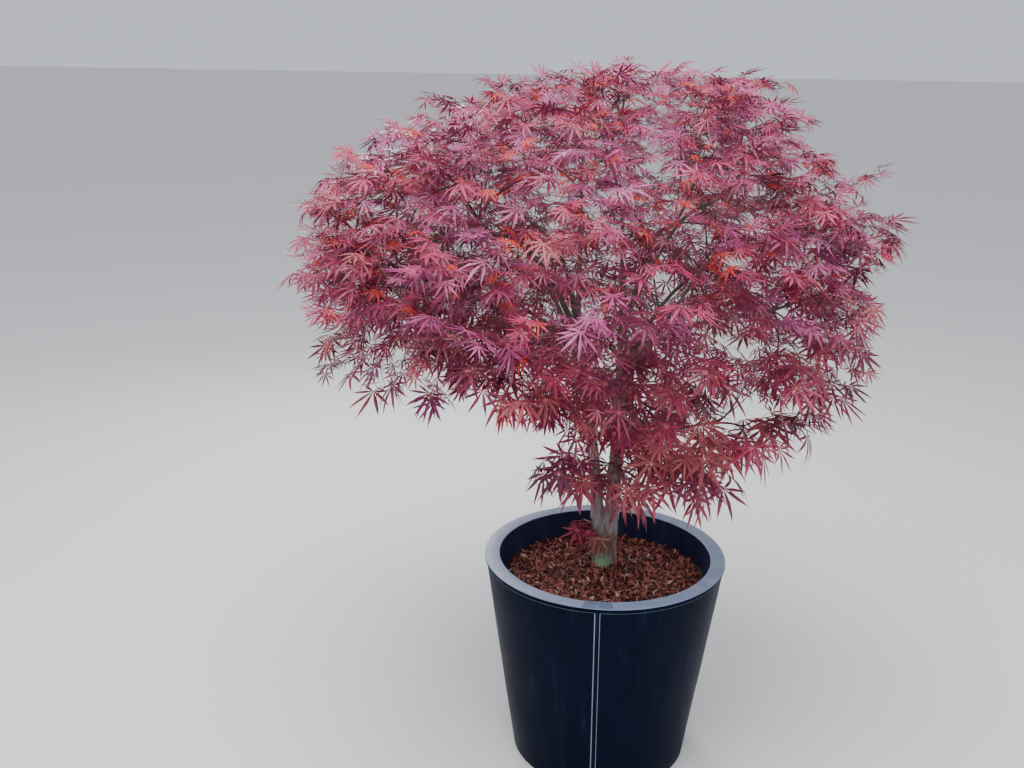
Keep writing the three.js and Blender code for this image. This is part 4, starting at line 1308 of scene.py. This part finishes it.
# %% Leaf blades and hearts
def finger_points(angle, share, ways):
    """Three points at each station of a finger, and its tip; Y is forward and Z is up."""
    rng = ways["rng"]
    angle = angle * ways["spread"] + rng.uniform(-0.08, 0.08)
    reach = LEAF_REACH * share * rng.uniform(0.9, 1.06)
    ahead = np.array((math.sin(angle), math.cos(angle), 0))
    aside = np.array((math.cos(angle), -math.sin(angle), 0))
    droop = ways["droop"] * rng.uniform(0.8, 1.25)
    bend = rng.uniform(-0.16, 0.16)
    points = []
    for along, half in ways["stations"]:
        rib = stalk_end() + reach * (ahead * along + (aside * bend - UP * droop) * along ** 2)
        wide = aside * LEAF_REACH * half * (0.6 + 0.4 * share)
        drop = UP * LEAF_REACH * half * ways["crease"]
        points += [rib - wide - drop, rib, rib + wide - drop]
    return [*points, stalk_end() + reach * (ahead + aside * bend - UP * droop)]


def leaf_parts(index):
    """Seven fingers as one mesh, and the star of their roots, the heart, as another."""
    ways = leaf_ways(index)
    fingers, faces = [], []
    star, star_faces = [stalk_end()], []
    for angle, share in FINGERS:
        first, root = len(fingers), len(star)
        points = finger_points(angle, share, ways)
        for a in range(first, first + len(points) - 4, 3):
            faces += [(a, a + 1, a + 4, a + 3), (a + 1, a + 2, a + 5, a + 4)]
        last = first + len(points) - 4
        faces += [(last, last + 1, last + 3), (last + 1, last + 2, last + 3)]
        fingers += points
        star += points[:3]
        star_faces += [(0, root + 1, root), (0, root + 2, root + 1)]
    return (mesh_object(f"blade_{index}", fingers, faces=faces),
            mesh_object(f"heart_{index}", star, faces=star_faces))


leaf_kinds = [leaf_parts(index) for index in range(2 * KINDS_EACH)]
blade_shelf = shape_shelf("leaf_blades", [blade for blade, _ in leaf_kinds])
heart_shelf = shape_shelf("leaf_hearts_shelf", [heart for _, heart in leaf_kinds])
print("faces of a large and a small blade:", [len(leaf_kinds[index][0].data.polygons) for index in (0, -1)])


# %% Leaf stalks
def leaf_stalk(index):
    """A thin straight stalk from the twig to the leaf's heart."""
    end = stalk_end()
    vertices = []
    for along, radius in STALK_ENDS:
        for angle in turns(3):
            vertices.append(end * along + np.array((math.cos(angle), 0, math.sin(angle))) * radius)
    return mesh_object(f"stalk_{index}", vertices, faces=tube_faces(2, 3, turned_round=True))


stalk_shelf = shape_shelf("leaf_stalks_shelf", [leaf_stalk(index) for index in range(2 * KINDS_EACH)])

# %% [markdown]
# ## Leaves in pairs, and a tint for each spray
# The leaves of this tree sit opposite each other in pairs, dip more the lower they hang,
# and are largest low down. One spray has one tint: mauve and rose where the sun falls, paler
# as a painted sheen of light; wine inside, and maroon inside as painted shade; brick and
# russet underneath. Single young leaves are scarlet, their orange-red partly painted light shining through.
# An image would tie the tints to one view, so they are plain colours, dealt out by chance
# with weights that follow the place of the spray in the crown.

# %% The tints of the sprays
# Each tint's dark and light tone, and its roughness.
TINTS = {
    # Mauve is paler than the leaf's own colour: a painted sheen of the sky on leaves that face up.
    "mauve": ((0.26, 0.036, 0.118), (0.39, 0.072, 0.2), 0.32),
    "rose": ((0.28, 0.029, 0.084), (0.41, 0.056, 0.14), 0.34),
    "crimson": ((0.26, 0.018, 0.057), (0.39, 0.035, 0.096), 0.36),
    "wine": ((0.18, 0.015, 0.054), (0.28, 0.03, 0.092), 0.36),
    "brick": ((0.34, 0.06, 0.078), (0.49, 0.112, 0.13), 0.36),
    "russet": ((0.27, 0.042, 0.058), (0.4, 0.08, 0.098), 0.38),
    # Maroon is painted shade for sprays deep inside the crown.
    "maroon": ((0.095, 0.008, 0.026), (0.17, 0.018, 0.048), 0.38),
    "scarlet": ((0.4, 0.015, 0.01), (0.54, 0.032, 0.018), 0.4),
    "cerise": ((0.28, 0.012, 0.05), (0.42, 0.026, 0.09), 0.4),
    "olive": ((0.2, 0.06, 0.04), (0.32, 0.11, 0.06), 0.4),
}
print("tints:", len(TINTS))


# %% How likely each tint is at a place
def crown_share(place):
    """How far out a place lies: 0 at the crown's centre and about 1 at its surface."""
    offset = place - CROWN_CENTRE
    height = crown_height(math.atan2(offset[1], offset[0]), offset[2] > 0)
    return np.linalg.norm(offset / (CROWN_HALF_WIDTH, CROWN_HALF_DEPTH, height))


def spray_tint(place):
    """The tint of a spray, with painted light and shade: paler tints outside and on top, dark inside."""
    out = crown_share(place)
    height = (place[2] - CROWN_CENTRE[2]) / CROWN_RISE
    # Painted light and shade: mauve and rose gain weight outside and on top, maroon inside.
    weights = {
        "mauve": 0.05 + 0.7 * max(out - 0.5, 0) + 1.1 * max(height, 0) - 0.4 * max(-height, 0),
        "rose": 0.3 + 0.4 * max(out - 0.4, 0) + 0.3 * height,
        "crimson": 0.75 - 0.15 * max(-height, 0),
        "wine": 1.15 - 0.45 * abs(height),
        "brick": 1.5 * max(-height, 0) - 0.3,
        "russet": 0.1 + 0.9 * max(-height, 0),
        "maroon": 0.58 + 1.2 * max(0.8 - out, 0) - 0.6 * max(height, 0),
    }
    return tree_random.choices(list(weights), [max(weight, 0) for weight in weights.values()])[0]


print(f"the top mass lies {crown_share(masses[0]['centre']):.2f} of the way out")

# %% Pose and size of a leaf
LOW_LEAVES, SMALL_LEAVES = 0.72, 0.97
LOWEST_STEEP = -1.1
SWING, TOP_SWING = 0.5, 0.2
DIP, DIP_CHANGE = 0.42, 0.5
# Low and high on the tree: the smallest size, the span above it, and the power of the chance.
LOW_SIZES, HIGH_SIZES = (0.6, 0.62, 1.4), (0.4, 0.55, 1.7)
TOP_SHRINK, SHRINK_FROM = 0.5, 0.1


def leaf_pose(place, way, tilt):
    """Turn of a leaf: flat at the top of the crown, and dipping more the lower it sits."""
    steep = min(max((place[2] - CROWN_CENTRE[2]) / CROWN_RISE, LOWEST_STEEP), 1)
    swing = SWING + TOP_SWING * max(steep, 0)
    dip = DIP - DIP_CHANGE * steep + tree_random.uniform(-swing, swing)
    ahead = unit(way * math.cos(dip) - UP * math.sin(dip))
    aside = unit(np.cross(way, UP))
    pose = Matrix((aside, ahead, np.cross(aside, ahead))).transposed()
    return (pose @ Matrix.Rotation(tilt, 3, "Y")).to_euler()


def leaf_size(height):
    """A random size, larger low on the tree and smaller at its top."""
    smallest, span, power = LOW_SIZES if height < LOW_LEAVES else HIGH_SIZES
    size = smallest + span * tree_random.random() ** power
    return size * (1 - TOP_SHRINK * max(height - LOW_LEAVES - SHRINK_FROM, 0))


print(f"middle fingers of the largest leaves about {LEAF_REACH * sum(LOW_SIZES[:2]):.3f} m long")

# %% Leaves in pairs along a twig
LEAF_GAP, CLOSER = 0.019, 0.75
LEAFY_SHARE, TIP_BARE, FOOT_BARE = 0.8, 0.01, 0.12
OUT_PULL, AHEAD_PULL, TIP_SPLAY = 0.45, 0.7, 0.55
NEARLY_UPRIGHT = 0.2
TURN_RANGE, SMALL_TILT, LARGE_TILT = 0.7, 0.55, 0.7
# Scarlet leaves are young leaves; their bright orange-red is partly painted light shining through them, more
# of it on top.
SCARLET_LOW, SCARLET_HIGH, SCARLET_SIZE = 0.015, 0.14, 0.72


def leaf_way(made, share, hand, splay):
    """The level direction of a leaf: outwards, along its twig and to its own side."""
    ahead = heading_at(made, share)
    outward = level(at(made, share) - CROWN_CENTRE)
    aside = np.cross(ahead, UP)
    aside = level(aside) if np.linalg.norm(aside) > NEARLY_UPRIGHT else level(np.cross(outward, UP))
    way = level(outward * OUT_PULL + ahead * (1, 1, 0) * AHEAD_PULL + aside * hand * splay)
    swing = Matrix.Rotation(tree_random.uniform(-TURN_RANGE, TURN_RANGE), 3, "Z")
    return np.array(swing @ Vector(way))


def new_leaf(place, way, scale, tint):
    """A leaf as its place, pose, size, variant and tint; a few are scarlet."""
    small = place[2] > SMALL_LEAVES
    size = scale * leaf_size(place[2])
    widest = SMALL_TILT if small else LARGE_TILT
    pose = leaf_pose(place, way, tree_random.uniform(-widest, widest))
    kind = tree_random.randrange(KINDS_EACH) + (KINDS_EACH if small else 0)
    scarlet_chance = SCARLET_HIGH if place[2] > CROWN_CENTRE[2] else SCARLET_LOW
    if tree_random.random() < scarlet_chance:
        return place, pose, size * SCARLET_SIZE, kind, "scarlet"
    return place, pose, size, kind, tint


def twig_leaves(made, scale, tint, most):
    """Opposite pairs of leaves from a twig's tip back towards its foot."""
    grown = []
    gap = LEAF_GAP * (CLOSER if at(made, 1)[2] > SMALL_LEAVES else 1)
    pairs = min(most, max(1, round(LEAFY_SHARE * made["length"] / gap)))
    for pair in range(pairs):
        share = max(1 - pair * gap / made["length"] - TIP_BARE, FOOT_BARE)
        for hand in (-1, 1):
            way = leaf_way(made, share, hand, TIP_SPLAY if pair == 0 else 1.0)
            grown.append(new_leaf(at(made, share), way, scale, tint))
    return grown


print(f"pairs of leaves every {LEAF_GAP * 1000:.0f} mm")

# %% Leaves for every twig, stem and sprout
MOST_PAIRS, MORE_HIGH, FEWER_LOW = 5, 3, 3
MODEL_PAIRS, LOW_MODEL_PAIRS = 6, 2
BARE_DEPTH = 0.6
SPROUT_LEAF_SIZE, SPROUT_PAIRS = 0.64, 2


def fine_pairs(tip):
    """The most pairs on a fine twig: one inside the crown, and fewer low down than high up."""
    if crown_share(tip) <= BARE_DEPTH:
        return 1
    if tip[2] < LOW_LEAVES:
        return MOST_PAIRS - FEWER_LOW
    return MOST_PAIRS + (MORE_HIGH if tip[2] > SMALL_LEAVES else 0)


leaves = []
for mass in masses:
    for made in (mass["stem"], *mass["twigs"]):
        tip = at(made, 1)
        most = LOW_MODEL_PAIRS if tip[2] < LOW_LEAVES else MODEL_PAIRS
        leaves += twig_leaves(made, 1.0, spray_tint(tip), most)
for made in fine_twigs:
    tip = at(made, 1)
    leaves += twig_leaves(made, 1.0, spray_tint(tip), fine_pairs(tip))
for made in sprout_twigs:
    leaves += twig_leaves(made, SPROUT_LEAF_SIZE, made["tint"], SPROUT_PAIRS)
print("leaves:", len(leaves))

# %% The tree that sets leaves on their places
setting, given = new_geometry_tree("set_leaves", {
    "Shapes": "Collection", "Size": "Float", "Finish": "Material"})
turned_by = add_node(setting, "FunctionNodeEulerToRotation", {
    "Euler": stored(setting, "pose", "FLOAT_VECTOR")})
sized = add_node(setting, "ShaderNodeMath", {
    0: stored(setting, "leaf_size", "FLOAT"), 1: given["Size"]}, operation="MULTIPLY")
set_down = add_node(setting, "GeometryNodeInstanceOnPoints", {
    "Points": given["Geometry"], "Instance": shapes_of(setting, given["Shapes"]),
    "Pick Instance": True, "Instance Index": stored(setting, "kind", "INT"),
    "Rotation": turned_by.outputs[0], "Scale": sized.outputs[0]})
soft = add_node(setting, "GeometryNodeSetShadeSmooth", {"Geometry": set_down.outputs[0]})
end_tree(setting, soft.outputs[0], given["Finish"])


def set_leaves(name, chosen, shelf, finish):
    """One piece of mesh that holds all the chosen leaves."""
    source = mesh_object(f"{name}_places", [leaf[0] for leaf in chosen])
    store(source, "pose", "FLOAT_VECTOR", [value for leaf in chosen for value in leaf[1]])
    store(source, "leaf_size", "FLOAT", [leaf[2] for leaf in chosen])
    store(source, "kind", "INT", [leaf[3] for leaf in chosen])
    return run_tree(source, name, setting, {"Shapes": shelf, "Size": 1.0, "Finish": finish})


print("leaf tree:", len(setting.nodes), "nodes")


# %% Leaf finishes, one plain tint for each spray
def leaf_finish(name, dark, light, roughness):
    """A thin satin leaf: its tint, a fine mottle, and soft bumps between the veins."""
    return mottled_finish(name, (dark, light), (70.0, 3), (0.0004, (420.0, 2)), Roughness=roughness,
                          Specular_IOR_Level=0.44, Sheen_Weight=0.04, Sheen_Tint=(1.0, 0.75, 0.88, 1))


leaf_pieces = []
for tint, (dark, light, roughness) in TINTS.items():
    chosen = [leaf for leaf in leaves if leaf[4] == tint]
    piece = set_leaves(f"{tint}_leaves", chosen, blade_shelf,
                       leaf_finish(f"{tint}_leaf", dark, light, roughness))
    leaf_pieces.append(piece)
    print(tint, len(chosen), "leaves,", triangles(piece), "triangles")

# %% Hearts and stalks of the leaves
heart_finish = leaf_finish("leaf_heart", (0.42, 0.09, 0.085), (0.58, 0.16, 0.14), 0.45)
large_leaves = [leaf for leaf in leaves if leaf[3] < KINDS_EACH]
hearts = set_leaves("leaf_hearts", large_leaves, heart_shelf, heart_finish)
stalk_finish = leaf_finish("leaf_stalk", (0.3, 0.015, 0.035), (0.45, 0.03, 0.06), 0.45)
stalks = set_leaves("leaf_stalks", leaves, stalk_shelf, stalk_finish)
print("hearts:", triangles(hearts), "triangles; stalks:", triangles(stalks))

# %% [markdown]
# ## Fit the pieces to the model
# Each piece rides on the one body and stands for the solids whose place it takes. The
# compost stays as the model has it, under the mulch, and only gets a finish. The shapes
# that the trees picked from are cleared away.

# %% The compost's finish
COMPOST_CRUMBS = (160.0, 6)
compost = frame["nodes"]["compost"]
compost.data.materials.clear()
compost.data.materials.append(mottled_finish(
    "compost", ((0.01, 0.006, 0.004), (0.05, 0.03, 0.02)), COMPOST_CRUMBS, None,
    spread=(0.3, 0.7), Roughness=0.95))
print("compost finishes:", len(compost.data.materials))

# %% Ride and replace
foliage_nodes = [name for name in frame["nodes"] if name.endswith("_foliage")]
bough_nodes = [name for name in frame["nodes"] if name.endswith("_bough")]
fitted = [
    ("pot_metal", ["pot"], [pot_shell, seam_beads, seam_band, weld_ring, *rim_joint]),
    ("bark_mulch", ["bark_mulch"], [mulch_bed, *chips]),
    ("bark", ["trunk", "left_stem", "right_stem"], [trunk_skin]),
    ("bark", bough_nodes, [bough_wood]),
    ("foliage", foliage_nodes, [stem_wood, twig_wood, fine_wood, *leaf_pieces, hearts, stalks]),
]
for slot, nodes, pieces in fitted:
    for piece in pieces:
        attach(piece, "root")
        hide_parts(*nodes)
    print(slot, "pieces:", len(pieces), "triangles:", sum(map(triangles, pieces)))

# %% Clear away the shapes that were picked from
for shelf in (chip_shelf, blade_shelf, heart_shelf, stalk_shelf):
    for shape in list(shelf.objects):
        bpy.data.objects.remove(shape)
    bpy.data.collections.remove(shelf)

# %% [markdown]
# ## Floor, light and camera
# A plain pale floor and broad soft lamps show the object alone: a wide one overhead for an
# overcast sky, a weak one in front, and a small one behind that shines on the rim. The
# camera stands where the photograph was taken: eye height, two metres in front, looking a
# little down and turned a few degrees to the left of the pot.

# %% Floor and lights
FLOOR_HALF = 30.0
floor = mesh_object("floor", [(-FLOOR_HALF, -FLOOR_HALF, 0), (FLOOR_HALF, -FLOOR_HALF, 0),
                              (FLOOR_HALF, FLOOR_HALF, 0), (-FLOOR_HALF, FLOOR_HALF, 0)],
                    faces=[(0, 1, 2, 3)])
FLOOR_TONE = (0.74, 0.73, 0.72, 1)
floor.data.materials.append(new_finish("pale_floor", Roughness=0.9, Base_Color=FLOOR_TONE)[0])

world = bpy.data.worlds.new("soft_sky")
world.use_nodes = True
sky = world.node_tree.nodes["Background"].inputs
sky["Color"].default_value = (0.86, 0.9, 1.0, 1)
sky["Strength"].default_value = 0.78
bpy.context.scene.world = world


def soft_lamp(name, place, aim, width, power):
    """A square lamp of a given width that faces a point."""
    data = bpy.data.lights.new(name, "AREA")
    data.shape = "SQUARE"
    data.size = width
    data.energy = power
    lamp = bpy.data.objects.new(name, data)
    lamp.location = place
    lamp.rotation_euler = (Vector(aim) - Vector(place)).to_track_quat("-Z", "Y").to_euler()
    bpy.context.scene.collection.objects.link(lamp)


soft_lamp("sky_panel", (-0.35, -1.0, 3.6), (0, 0, 0.8), 2.6, 178)
soft_lamp("front_panel", (1.2, -3.4, 2.2), (0, 0, 0.6), 2.0, 24)
soft_lamp("back_panel", (-0.9, 2.2, 1.6), (-0.2, 0, 0.42), 0.7, 22)

# %% Camera
EYE = (0.0, -2.10, 1.42)
HEADING_LEFT = math.radians(5.08)
PITCH_DOWN = math.radians(17.4)
ROLL = math.radians(0.7)
LENS_MM = 41.0
camera_data = bpy.data.cameras.new("camera")
camera_data.lens = LENS_MM
camera_data.sensor_width = 36.0
camera = bpy.data.objects.new("camera", camera_data)
camera.location = EYE
aimed = Euler((math.pi / 2 - PITCH_DOWN, 0, HEADING_LEFT)).to_matrix()
camera.rotation_euler = (aimed @ Matrix.Rotation(ROLL, 3, "Z")).to_euler()
bpy.context.scene.collection.objects.link(camera)
bpy.context.scene.camera = camera
